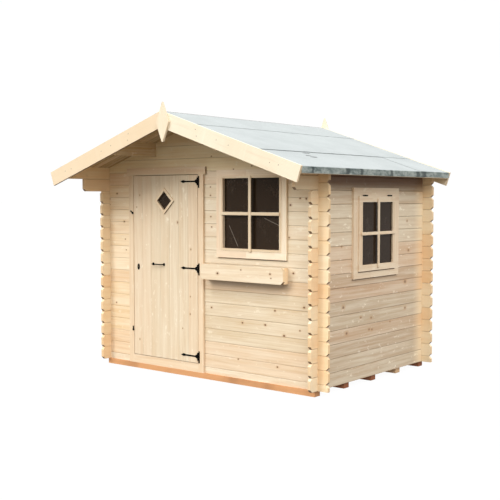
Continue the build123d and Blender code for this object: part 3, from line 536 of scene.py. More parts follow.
@dataclass(frozen=True)
class Timber:
    """Planed spruce: grain, rings, knots, and a tone of its own for each board.

    Attributes:
        name: The material's name.
        grain: The way the fibres run.
        board_axis: The axis, 0 to 2, along which one board follows another.
        board_start: Where the first board starts on that axis.
        board_width: The width of a board.
        pale: The colour of the lightest boards.
        warm: The colour of the warmest boards.
        rosy: The colour of the reddish boards.
        rosiness: How far the reddish boards turn to that colour.
        knots: The share of places that hold a knot of chance size.
        knot_places: Knots that are listed, as along, across and radius.
        joint: How dark the painted shade in the groove between two boards is.
        streaks: How strong the pale and dark streaks along the board are.
        tail: The fresh ends past the corners, if any.
        lines: Painted shadow lines under edges.
        end_grain: The two colours of the sawn ends.
        left_tone: The colour that the boards left of the middle lean to, if any.
        rails: Heights between which the fibres run level, on a frame of upright boards.
        shades: Painted shadows below edges.
        knot_depth: How dark the knots are.
        chalk: How strong the small pale marks are.
        painted_shade_below: How dark the painted shade is on faces that look down.
    """

    name: str
    grain: Grain
    board_axis: int = 2
    board_start: float = LOG_FOOT
    board_width: float = LOG_PITCH
    pale: Colour = srgb(226, 212, 186)
    warm: Colour = srgb(212, 190, 156)
    rosy: Colour = srgb(220, 184, 146)
    rosiness: float = 0.5
    knots: float = 0.0
    knot_places: tuple[Knot, ...] = ()
    joint: float = 0.25
    streaks: float = 1.0
    tail: Tail | None = None
    lines: tuple[Line, ...] = ()
    end_grain: tuple[Colour, Colour] = (srgb(226, 194, 150), srgb(196, 156, 108))
    left_tone: Colour | None = None
    rails: tuple[Span, ...] = ()
    shades: tuple[Shade, ...] = ()
    knot_depth: float = 0.9
    chalk: float = 0.4
    painted_shade_below: float = 0.85

    def _fibre_axes(self, x: Socket, y: Socket, z: Socket) -> tuple[Socket, Socket, Socket]:
        """Turn the coordinates so that they run along, across and into the board.

        Args:
            x: The X coordinate.
            y: The Y coordinate.
            z: The height.

        Returns:
            The places along, across and into the board.
        """
        if self.grain is Grain.ALONG_X:
            return x, z, y
        if self.grain is Grain.ALONG_Y:
            return y, z, x
        if self.grain is Grain.UP_FRONT:
            return z, x, y
        if self.grain is Grain.UP_SIDE:
            return z, y, x
        down = abs(x) * math.cos(ROOF_PITCH) - z * math.sin(ROOF_PITCH)
        off = abs(x) * math.sin(ROOF_PITCH) + z * math.cos(ROOF_PITCH)
        return down, y, off

    def _ends(self, shader: Shader) -> Socket:
        """Tell the sawn ends of a board from its faces.

        Args:
            shader: The shader.

        Returns:
            1 on the ends, and 0 on the faces.
        """
        x, y, z = shader.parts(shader.normal())
        if self.grain is Grain.DOWN_ROOF:
            return (abs(x) * math.cos(ROOF_PITCH) - z * math.sin(ROOF_PITCH)).smooth(0.80, 0.90)
        facing = {Grain.ALONG_X: x, Grain.ALONG_Y: y}.get(self.grain, z)
        return abs(facing).smooth(0.80, 0.90)

    def _place(self, shader: Shader) -> BoardPlace:
        """Work out where a point lies on its board.

        Args:
            shader: The shader.

        Returns:
            The place, with the board's own random values.
        """
        x, y, z = shader.parts(shader.coordinates())
        along, across, depth = self._fibre_axes(x, y, z)
        for low, high in self.rails:
            rail = z.above(low) * (1.0 - z.above(high))
            along, across = along + (across - along) * rail, across + (along - across) * rail
        count = ((x, y, z)[self.board_axis] - self.board_start) / self.board_width
        number = count.floor()
        side = depth.above(0.0)
        tone, figure, blush = (shader.random(shader.vector(number, side, seed)) for seed in BOARD_SEEDS)
        return BoardPlace(axes=(x, y, z), along=along, across=across, depth=depth,
                          run=along + tone * BOARD_RUN, count=count, number=number, side=side,
                          tone=tone, figure=figure, blush=blush)

    def _chance_knots(self, shader: Shader, place: BoardPlace) -> Socket:
        """Give how near the closest knot of chance is.

        Args:
            shader: The shader.
            place: The place on the board.

        Returns:
            The distance in knot radii: 0 at the knot's heart, 1 at its rim, more beyond.
        """
        board_shift = place.tone * 31.0
        spread = place.along * KNOTS_PER_METRE + board_shift
        course = place.across / self.board_width
        settings = {"voronoi_dimensions": "3D", "feature": "F1"}
        closest = shader.node("ShaderNodeTexVoronoi", settings,
                              {"Vector": shader.vector(spread, course, board_shift), "Scale": 1.0,
                               "Randomness": 0.9}, "Color")
        chance, size, _ = shader.parts(closest)
        heart_x, heart_y, _ = shader.parts(closest.sibling("Position"))
        off_along = (spread - heart_x) / KNOTS_PER_METRE * KNOT_STRETCH
        off_across = (course - heart_y) * self.board_width
        missing = (1.0 - chance).smooth(self.knots - 0.001, self.knots) * KNOT_FAR
        gap = (off_along * off_along + off_across * off_across).root()
        return gap / (size * KNOT_SPREAD + KNOT_SMALLEST) + missing

    def _knots(self, shader: Shader, place: BoardPlace) -> Socket:
        """Give how near the closest knot is, by chance or set by hand.

        Args:
            shader: The shader.
            place: The place on the board.

        Returns:
            The distance in knot radii.
        """
        nearest = self._chance_knots(shader, place) if self.knots else place.along * 0.0 + KNOT_FAR
        here = shader.vector(place.along * KNOT_STRETCH, place.across, 0.0)
        for along, across, radius in self.knot_places:
            heart = (along * KNOT_STRETCH, across, 0.0)
            nearest = nearest.least(shader.distance(here, heart) / radius)
        return nearest

    def _figure(self, shader: Shader, place: BoardPlace) -> Figure:
        """Work out the figure of the wood: rings round a trunk, streaks and fibres along it.

        Args:
            shader: The shader.
            place: The place on the board.

        Returns:
            The figure.
        """
        run, across, depth, tone = place.run, place.across, place.depth, place.tone
        knot = self._knots(shader, place)
        swirl = knot.smooth(4.5, 0.6)
        sway = shader.noise(shader.vector(run * 1.6, across * 5.0, tone * 13.0), detail=1.0) - 0.5
        off_across = across + sway * 0.030 + (place.figure - 0.5) * 0.06
        off_depth = depth + sway * 0.02 + RING_HEART
        trunk_radius = (off_across * off_across + off_depth * off_depth).root()
        rings = ((trunk_radius * RINGS_PER_METRE + swirl * 1.8) * math.tau).sine() * 0.5 + 0.5
        broad = shader.vector(run * 1.1, across * 30.0, place.figure)
        bands = shader.noise(broad, detail=5.0, roughness=0.66)
        narrow = shader.vector(run * 2.6, across * 130.0, depth * 40.0)
        fine = shader.noise(narrow, detail=3.0, roughness=0.6)
        cloudy = shader.vector(run * 3.2, across * 10.0, tone * 20.0)
        blotch = shader.noise(cloudy, detail=3.0, roughness=0.62)
        fibre = shader.noise(shader.vector(run * 22.0, across * 900.0, depth * 900.0), detail=2.0)
        warmth = tone * 0.7 + (blotch - 0.5) * 1.2 + (bands - 0.5) * 1.5 * self.streaks + 0.14
        return Figure(knot=knot, core=knot.smooth(1.10, 0.75), rings=rings, bands=bands, fine=fine,
                      blotch=blotch, fibre=fibre, warmth=warmth.clamp())

    def _face_colour(self, shader: Shader, place: BoardPlace, figure: Figure) -> Socket:
        """Colour the planed face: the board's tone, then streaks, chalky marks and knots over it.

        Args:
            shader: The shader.
            place: The place on the board.
            figure: The figure of the wood.

        Returns:
            The colour.
        """
        colour = shader.mix(figure.warmth, self.pale, self.warm)
        reddish = (place.blush.smooth(0.50, 0.95) + (figure.blotch - 0.5) * 0.8).clamp() * self.rosiness
        colour = shader.mix(reddish, colour, self.rosy)
        colour = shader.mix(figure.rings ** 3.0 * 0.14 + (figure.fibre - 0.5) * 0.10, colour, WOOD_DARK)
        colour = shader.mix(figure.fine.smooth(0.50, 0.78) * 0.30 * self.streaks, colour, WOOD_DARK)
        colour = shader.mix(figure.bands.smooth(0.60, 0.34) * 0.30 * self.streaks, colour, WOOD_SAP)
        mark = shader.vector(place.run * 11.0, place.across * 20.0, place.figure * 9.0)
        chalk = shader.noise(mark, detail=3.0, roughness=0.7)
        colour = shader.mix(chalk.smooth(0.60, 0.72) * self.chalk, colour, WOOD_SAP)
        colour = shader.mix(figure.knot.smooth(2.8, 0.9) * 0.38, colour, KNOT_RIM)
        colour = shader.mix(figure.core * self.knot_depth, colour, KNOT_CORE)
        colour = shader.mix(figure.knot.smooth(0.60, 0.20) * 0.6 * self.knot_depth, colour, KNOT_HEART)
        if self.left_tone:
            colour = shader.mix(place.axes[0].smooth(0.0, -0.01) * 0.7, colour, self.left_tone)
        return colour

    def _freshen_tails(self, shader: Shader, place: BoardPlace, figure: Figure,
                       colour: Socket) -> tuple[Socket, Socket]:
        """Brighten the ends past the corners.

        Args:
            shader: The shader.
            place: The place on the board.
            figure: The figure of the wood.
            colour: The colour so far.

        Returns:
            The new colour, and how far a face that looks down may take the painted shade.
        """
        tail = self.tail
        near = place.along.smooth(tail.near + tail.near_blend / 2, tail.near - tail.near_blend / 2)
        far = place.along.smooth(tail.far - tail.far_blend / 2, tail.far + tail.far_blend / 2)
        end = near.most(far)
        fresh = shader.mix(figure.warmth, tail.pale, tail.warm)
        fresh = shader.mix(place.blush.smooth(0.40, 0.95) * 0.55, fresh, WOOD_ROSY_END)
        facing = shader.parts(shader.normal())[0 if self.grain is Grain.ALONG_X else 1]
        return shader.mix(end * 0.85, colour, fresh), end * abs(facing).smooth(0.40, 0.60) * 0.85 + 0.15

    def _draw_seams(self, shader: Shader, place: BoardPlace, colour: Socket) -> Socket:
        """Paint shade in the grooves between boards, and painted shadow lines under edges.

        Args:
            shader: The shader.
            place: The place on the board.
            colour: The colour so far.

        Returns:
            The new colour.
        """
        # Painted shade in the groove between two boards, patchy along it.
        seam = abs(place.count - (place.count + 0.5).floor()) * self.board_width
        patches = shader.noise(shader.vector(place.along * 6.0, place.number * 3.1, place.side), detail=2.0)
        patchy = patches.smooth(0.30, 0.62) * 0.6 + 0.4
        colour = shader.mix(seam.smooth(0.0050, 0.0012) * patchy * self.joint, colour, WOOD_SHADE)
        for line in self.lines:
            reach = place.axes[line.axis].inside(line.low, line.high, LINE_BLEND)
            near_line = abs(place.axes[2] - line.level).smooth(line.width * 0.75, line.width * 0.35)
            colour = shader.mix(reach * near_line * 0.92, colour, WOOD_SHADE)
        return colour

    def _shade(self, shader: Shader, place: BoardPlace, figure: Figure, colour: Socket) -> Socket:
        """Paint shadow on the timber below the edges that keep the sun off.

        Args:
            shader: The shader.
            place: The place on the board.
            figure: The figure of the wood.
            colour: The colour so far.

        Returns:
            The new colour.
        """
        height = place.axes[2]
        for shade in self.shades:
            reach = place.axes[shade.axis].inside(shade.low - SHADE_BLEND / 2, shade.high + SHADE_BLEND / 2,
                                                  SHADE_BLEND)
            fall = (height + (figure.blotch - 0.5) * 0.02).smooth(shade.bottom, shade.top)
            below = height.smooth(shade.limit, shade.limit - 0.01)
            # Painted shadow, darkest at the top of each shade and fading downwards.
            colour = shader.mix(fall * reach * below * shade.depth, colour, PAINTED_SHADOW_BROWN)
        return colour

    def make(self) -> bpy.types.Material:
        """Build the material.

        Returns:
            The material.
        """
        shader = Shader(self.name)
        place = self._place(shader)
        figure = self._figure(shader, place)
        colour = self._face_colour(shader, place, figure)
        darkening = 1.0
        if self.tail:
            colour, darkening = self._freshen_tails(shader, place, figure, colour)
        colour = self._draw_seams(shader, place, colour)
        end_rings = shader.noise(shader.vector(place.across * 60.0, place.depth * 60.0, place.along * 4.0),
                                 detail=3.0)
        colour = shader.mix(self._ends(shader) * 0.6, colour, shader.mix(end_rings, *self.end_grain))
        # Painted shade on the faces that look down, such as the lower chamfers of the log ends.
        under = shader.parts(shader.normal())[2].smooth(-0.40, -0.65)
        colour = shader.mix(under * darkening * self.painted_shade_below, colour, WOOD_SHADE)
        colour = self._shade(shader, place, figure, colour)
        height = figure.fibre * 0.35 + figure.rings * 0.25 + figure.fine * 0.25 + figure.core * 0.3
        return shader.finish(colour, 0.58 + figure.bands * 0.14 - figure.core * 0.12,
                             Normal=shader.bump(height, 0.35, 0.0008), Specular_IOR_Level=0.3)


@dataclass(frozen=True)
class Treated:
    """Sawn, pressure-treated timber of the bearers.

    Attributes:
        name: The material's name.
        fresh: The colour of the front bearer.
        old: The colour of those behind it.
        blotch: The colour of the darker blotches.
        sawn: The colour that the sawn ends lean to.
        pale: The colour of the pale end.
        front_from: Where the front bearer is wholly fresh, from front to back.
        front_to: Where its fresh colour has faded out.
        pale_place: Where the bearer with pale ends lies, from front to back.
        pale_end: Where the pale part of its right end is wholly pale.
    """

    name: str = "bearer timber"
    fresh: Colour = srgb(214, 158, 108)
    old: Colour = srgb(150, 92, 60)
    blotch: Colour = srgb(110, 70, 42)
    sawn: Colour = srgb(96, 52, 34)
    pale: Colour = srgb(222, 190, 150)
    front_from: float = -0.79
    front_to: float = -0.75
    pale_place: float = 0.4225
    pale_end: float = 1.15

    def make(self) -> bpy.types.Material:
        """Build the material.

        Returns:
            The material.
        """
        shader = Shader(self.name)
        x, y, z = shader.parts(shader.coordinates())
        streak = shader.noise(shader.vector(x * 2.0, y * 60.0, z * 60.0), detail=4.0, roughness=0.65)
        patch = shader.noise(shader.vector(x * 3.0, y * 3.0, z * 3.0), detail=2.0)
        front = y.smooth(self.front_to, self.front_from)
        colour = shader.mix((front * 0.85 + (streak - 0.5) * 0.5).clamp(), self.old, self.fresh)
        colour = shader.mix(patch.smooth(0.5, 0.75) * 0.35, colour, self.blotch)
        ends = abs(shader.parts(shader.normal())[0]).smooth(0.8, 0.9)
        grain = shader.noise(shader.vector(x * 8.0, y * 90.0, z * 90.0), detail=3.0)
        colour = shader.mix(ends * grain * 0.5, colour, self.sawn)
        pale_end = abs(y - self.pale_place).smooth(0.06, 0.05) * x.smooth(self.pale_end - 0.05, self.pale_end)
        colour = shader.mix(pale_end * (0.55 + grain * 0.3), colour, self.pale)
        bump = shader.bump(streak, 0.5, 0.0012)
        return shader.finish(colour, 0.72 + streak * 0.1, Normal=bump, Specular_IOR_Level=0.25)


@dataclass(frozen=True)
class Felt:
    """Mineral-faced roofing felt, dusty and pale on the slopes and dark where it is turned down.

    Attributes:
        name: The material's name.
        grit: The colour of the mineral face.
        worn: The colour of the patches that have weathered.
        gritty: The colour of the darker grit in it.
        fleck: The colour of the single pale grains.
        bitumen: The colour of the cut edges and scars.
        crease_shade: The colour of the painted shade in the crease along the ridge.
        edge: The darkest and the palest colour of the turned-down edge.
        stain: The colour of the stains on it.
        eave: How far from the ridge the felt turns down, on plan.
        crease: How far the painted shade in the crease along the ridge reaches on either side.
        stains: Dark stains on the turned-down edge, as the place along the eave and the width.
        scars: Scars in the slope, as the place along the roof, the distance down it and the length.
        scar_width: How wide the scars are.
    """

    name: str = "roofing felt"
    grit: Colour = srgb(172, 177, 176)
    worn: Colour = srgb(164, 169, 168)
    gritty: Colour = srgb(132, 142, 146)
    fleck: Colour = srgb(236, 240, 240)
    bitumen: Colour = srgb(58, 58, 56)
    crease_shade: Colour = srgb(92, 84, 74)
    edge: tuple[Colour, Colour] = (srgb(90, 101, 100), srgb(156, 163, 158))
    stain: Colour = srgb(52, 60, 60)
    eave: float = 1.413
    crease: float = 0.020
    stains: tuple[Span, ...] = ((-1.219, 0.020), (-0.745, 0.035), (-0.540, 0.026),
                                (-0.069, 0.036), (0.380, 0.045), (0.489, 0.050))
    scars: tuple[Point, ...] = ((-0.770, 1.092, 0.060), (-0.845, 1.170, 0.042), (-0.815, 1.205, 0.055))
    scar_width: float = 0.014

    def _slope_colour(self, shader: Shader, place: Socket, speck: Socket, grains: Socket) -> Socket:
        """Colour the slopes: mineral grit, weathered patches, scars and painted shade in the crease of the
        ridge.

        Args:
            shader: The shader.
            place: The object coordinates.
            speck: Noise for the single pale grains.
            grains: Noise for the coarse grit.

        Returns:
            The colour.
        """
        x, y, z = shader.parts(place)
        patch = shader.noise(shader.vector(x * 2.2, y * 1.6, z), scale=1.6, detail=5.0, roughness=0.6)
        colour = shader.mix(patch.smooth(0.30, 0.70), self.grit, self.worn)
        colour = shader.mix((grains - 0.5) * 0.5 + 0.08, colour, self.gritty)
        colour = shader.mix(speck.smooth(0.62, 0.72) * 0.35, colour, self.fleck)
        down = abs(x) / math.cos(ROOF_PITCH)
        ragged = shader.noise(shader.vector(x * 30.0, y * 30.0, z), detail=3.0, roughness=0.7) - 0.5
        for along, slope, length in self.scars:
            off_along = (y - along) / length
            off_down = (down - slope) / self.scar_width + ragged * 1.8
            gap = (off_along * off_along + off_down * off_down).root()
            colour = shader.mix(gap.smooth(1.1, 0.6) * 0.9, colour, self.bitumen)
        # Painted shade in the crease along the ridge.
        return shader.mix(abs(x).smooth(self.crease, self.crease * 0.4) * 0.8, colour, self.crease_shade)

    def _edge_colour(self, shader: Shader, place: Socket) -> Socket:
        """Colour the edge that is turned down over the eave, with its stains.

        Args:
            shader: The shader.
            place: The object coordinates.

        Returns:
            The colour.
        """
        x, y, z = shader.parts(place)
        mottle = shader.noise(shader.vector(y * 11.0, z * 20.0, x), detail=5.0, roughness=0.72)
        colour = shader.mix(mottle.smooth(0.34, 0.66), *self.edge)
        for along, width in self.stains:
            stain = (abs(y - along) / width + (mottle - 0.5) * 1.5).smooth(1.0, 0.45)
            colour = shader.mix(stain * 0.75, colour, self.stain)
        return colour

    def make(self) -> bpy.types.Material:
        """Build the material.

        Returns:
            The material.
        """
        shader = Shader(self.name)
        place = shader.coordinates()
        speck = shader.noise(place, scale=900.0, detail=2.0, roughness=0.7)
        grains = shader.noise(place, scale=260.0, detail=3.0, roughness=0.6)
        facing_x, _, facing_z = shader.parts(shader.normal())
        outward = abs(facing_x).smooth(0.70, 0.92)
        rim = abs(shader.parts(place)[0]).smooth(self.eave - 0.012, self.eave - 0.002)
        slope = self._slope_colour(shader, place, speck, grains)
        colour = shader.mix(outward.most(rim), slope, self._edge_colour(shader, place))
        cut = facing_z.smooth(0.25, -0.20) * (1.0 - outward)
        colour = shader.mix(cut * 0.85, colour, self.bitumen)
        bump = shader.bump(grains * 0.6 + speck * 0.4, 0.5, 0.0012)
        return shader.finish(colour, grains * 0.08 + 0.82, Normal=bump, Specular_IOR_Level=0.25)


@dataclass(frozen=True)
class Iron:
    """Black-painted ironwork, worn a little in places.

    Attributes:
        name: The material's name.
        paint: The colour of the paint.
        worn: The colour where it is worn.
    """

    name: str = "black iron"
    paint: Colour = srgb(11, 9, 8)
    worn: Colour = srgb(46, 38, 32)

    def make(self) -> bpy.types.Material:
        """Build the material.

        Returns:
            The material.
        """
        shader = Shader(self.name)
        place = shader.coordinates()
        dimples = shader.noise(place, scale=260.0, detail=2.0)
        wear = shader.noise(place, scale=70.0, detail=4.0, roughness=0.7)
        colour = shader.mix(wear.smooth(0.62, 0.80) * 0.5, self.paint, self.worn)
        bump = shader.bump(dimples, 0.4, 0.0008)
        return shader.finish(colour, wear * 0.25 + 0.50, Normal=bump, Specular_IOR_Level=0.04)


@dataclass(frozen=True)
class Pane:
    """Window glass with dust and faint scratches, painted dark as the shade of the room behind it.

    Attributes:
        name: The material's name.
        room_shade_tint: The colour of the glass, painted dark brown as the shade of the room behind it.
        dust: The colour of the dust and scratches.
        dusty_from: Height above which the dust lies thicker.
        dusty_to: Height at which it is thickest.
        scratches: Scratches on the front pane, each from one place to another, as x and z.
        scratch_width: How far a scratch shows on either side of its middle.
        scratch_blend: The length over which its ends fade.
    """

    name: str = "window glass"
    # Painted shade: the glass is tinted dark brown for the dim room behind it.
    room_shade_tint: Colour = srgb(52, 40, 29)
    dust: Colour = srgb(196, 184, 170)
    dusty_from: float = 1.60
    dusty_to: float = 1.76
    scratches: tuple[tuple[float, float, float, float], ...] = ((0.292, 1.352, 0.392, 1.170),
                                                                (0.668, 1.418, 0.850, 1.350))
    scratch_width: float = 0.0040
    scratch_blend: float = 0.01

    def make(self) -> bpy.types.Material:
        """Build the material.

        Returns:
            The material.
        """
        shader = Shader(self.name)
        x, y, z = shader.parts(shader.coordinates())
        dust = shader.noise(shader.vector(x * 9.0, y * 9.0, z * 7.0), detail=4.0, roughness=0.7)
        specks = shader.noise(shader.vector(x * 60.0, y * 60.0, z * 60.0), detail=3.0, roughness=0.7)
        high = z.smooth(self.dusty_from, self.dusty_to)
        thick = specks.smooth(0.60, 0.72) * dust.smooth(0.45, 0.65) * high
        film = dust.smooth(0.50, 0.85) * 0.05 + thick * 0.35
        on_front = y.smooth(-0.5, -0.6)
        for x0, z0, x1, z1 in self.scratches:
            length = math.hypot(x1 - x0, z1 - z0)
            along = ((x - x0) * (x1 - x0) + (z - z0) * (z1 - z0)) / length
            off = abs((x - x0) * (z1 - z0) - (z - z0) * (x1 - x0)) / length
            reach = along.inside(0.0, length, self.scratch_blend)
            film = film + off.smooth(self.scratch_width, self.scratch_width / 4) * reach * on_front * 0.30
        film = film.clamp()
        colour = shader.mix(film, self.room_shade_tint, self.dust)
        return shader.finish(colour, dust * 0.05 + 0.08, Alpha=(film + 0.93).clamp(), Specular_IOR_Level=0.08)


@dataclass(frozen=True)
class Steel:
    """Galvanised nail heads, dulled by the weather.

    Attributes:
        name: The material's name.
        zinc: The colour of the metal.
        dull: The colour of its duller spots.
    """

    name: str = "dull nail heads"
    zinc: Colour = srgb(112, 104, 96)
    dull: Colour = srgb(84, 70, 56)

    def make(self) -> bpy.types.Material:
        """Build the material.

        Returns:
            The material.
        """
        shader = Shader(self.name)
        place = shader.coordinates()
        spot = shader.noise(place, scale=300.0, detail=3.0)
        colour = shader.mix(spot, self.zinc, self.dull)
        return shader.finish(colour, 0.5 + spot * 0.2, Metallic=0.4, Normal=shader.bump(spot, 0.3, 0.0004))


# ---------------------------------------------------------------- modelling helpers

HAIR = 1e-5                 # a distance too small to matter
EDGE_STEPS = 2              # facets across a rounded edge
HEAD_SIDES = 12             # sides of the rim of a nail or screw head
KNUCKLE_SIDES = 20          # sides of a hinge knuckle
DOME_INSET = 0.35           # the flat on top of a head lies this share of the radius inside its rim
DOME_RISE = 0.4             # and this share of the head's thickness above it


def deselect() -> None:
    """Leave the edit mode and deselect every object."""
    if bpy.context.object and bpy.context.object.mode != "OBJECT":
        bpy.ops.object.mode_set(mode="OBJECT")
    bpy.ops.object.select_all(action="DESELECT")


def settle(piece: bpy.types.Object, name: str) -> bpy.types.Object:
    """Name a piece and put its place, turn and scale in its mesh.

    Args:
        piece: The piece.
        name: Its new name.

    Returns:
        The same piece.
    """
    deselect()
    piece.select_set(True)
    bpy.context.view_layer.objects.active = piece
    bpy.ops.object.transform_apply(location=True, rotation=True, scale=True)
    piece.name = name
    piece.data.name = name
    return piece


def add_board(name: str, low: Point, high: Point, rounding: float) -> bpy.types.Object:
    """Add a board with eased edges.

    Args:
        name: The piece's name.
        low: Its lowest corner.
        high: Its highest corner.
        rounding: How far its edges are rounded.

    Returns:
        The board.
    """
    deselect()
    middle = [(a + b) / 2 for a, b in zip(low, high)]
    size = [b - a for a, b in zip(low, high)]
    bpy.ops.mesh.primitive_cube_add(size=1, location=middle, scale=size)
    board = settle(bpy.context.object, name)
    bevel = board.modifiers.new("Eased edges", "BEVEL")
    bevel.width = rounding
    bevel.segments = EDGE_STEPS
    bevel.limit_method = "NONE"
    apply_modifiers(board)
    return board


def apply_modifiers(piece: bpy.types.Object) -> None:
    """Apply all modifiers of a piece.

    Args:
        piece: The piece.
    """
    deselect()
    piece.select_set(True)
    bpy.context.view_layer.objects.active = piece
    for modifier in list(piece.modifiers):
        bpy.ops.object.modifier_apply(modifier=modifier.name)


def join(pieces: Sequence[bpy.types.Object], name: str) -> bpy.types.Object:
    """Join pieces in one.

    Args:
        pieces: The pieces.
        name: The name of the whole.

    Returns:
        The joined piece.
    """
    deselect()
    for piece in pieces:
        piece.select_set(True)
    bpy.context.view_layer.objects.active = pieces[0]
    bpy.ops.object.join()
    return settle(bpy.context.object, name)


def copy_to(pattern: bpy.types.Object, places: Iterable[Point], name: str) -> bpy.types.Object:
    """Copy a piece to several places and join the copies.

    Args:
        pattern: The piece, modelled at the origin; it is used up.
        places: Where the copies go.
        name: The name of the whole.

    Returns:
        The joined copies.
    """
    copies = []
    for place in places:
        piece = pattern.copy()
        piece.data = pattern.data.copy()
        piece.location = place
        bpy.context.collection.objects.link(piece)
        copies.append(piece)
    bpy.data.objects.remove(pattern)
    return join(copies, name)


class Facing(Enum):
    """The side that a small head stands on."""

    FRONT = (math.pi / 2, 0.0, 0.0)
    BACK = (-math.pi / 2, 0.0, 0.0)


def add_head(radius: float, proud: float, facing: Facing) -> bpy.types.Object:
    """Model one domed nail or screw head at the origin.

    Args:
        radius: The radius of the head.
        proud: How far its rim stands out.
        facing: The side it faces.

    Returns:
        The head.
    """
    deselect()
    bpy.ops.mesh.primitive_cylinder_add(vertices=HEAD_SIDES, radius=radius, depth=proud,
                                        location=(0, 0, proud / 2))
    head = bpy.context.object
    for polygon in head.data.polygons:
        polygon.select = polygon.normal.z > 0.9
    for edge in head.data.edges:
        edge.select = False
    bpy.ops.object.mode_set(mode="EDIT")
    bpy.ops.mesh.select_mode(type="FACE")
    bpy.ops.mesh.inset(thickness=radius * DOME_INSET, depth=0.0)
    bpy.ops.transform.translate(value=(0, 0, proud * DOME_RISE))
    bpy.ops.object.mode_set(mode="OBJECT")
    head.rotation_euler = facing.value
    return settle(head, "head")


def dress(material: bpy.types.Material, *nodes: str) -> None:
    """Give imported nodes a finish.

    Args:
        material: The finish.
        nodes: The nodes' names.
    """
    for name in nodes:
        for material_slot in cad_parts[name].material_slots:
            material_slot.material = material
        LOG.info("dressed %s with %s", name, material.name)


def place_piece(piece: bpy.types.Object, material: bpy.types.Material, body: str) -> bpy.types.Object:
    """Give a new piece its finish and let it ride on a body.

    Args:
        piece: The piece.
        material: Its finish.
        body: The body that it moves with.

    Returns:
        The piece.
    """
    piece.data.materials.clear()
    piece.data.materials.append(material)
    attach(piece, body)
    LOG.info("made %s, %d faces", piece.name, len(piece.data.polygons))
    return piece


# ---------------------------------------------------------------- sub-assemblies


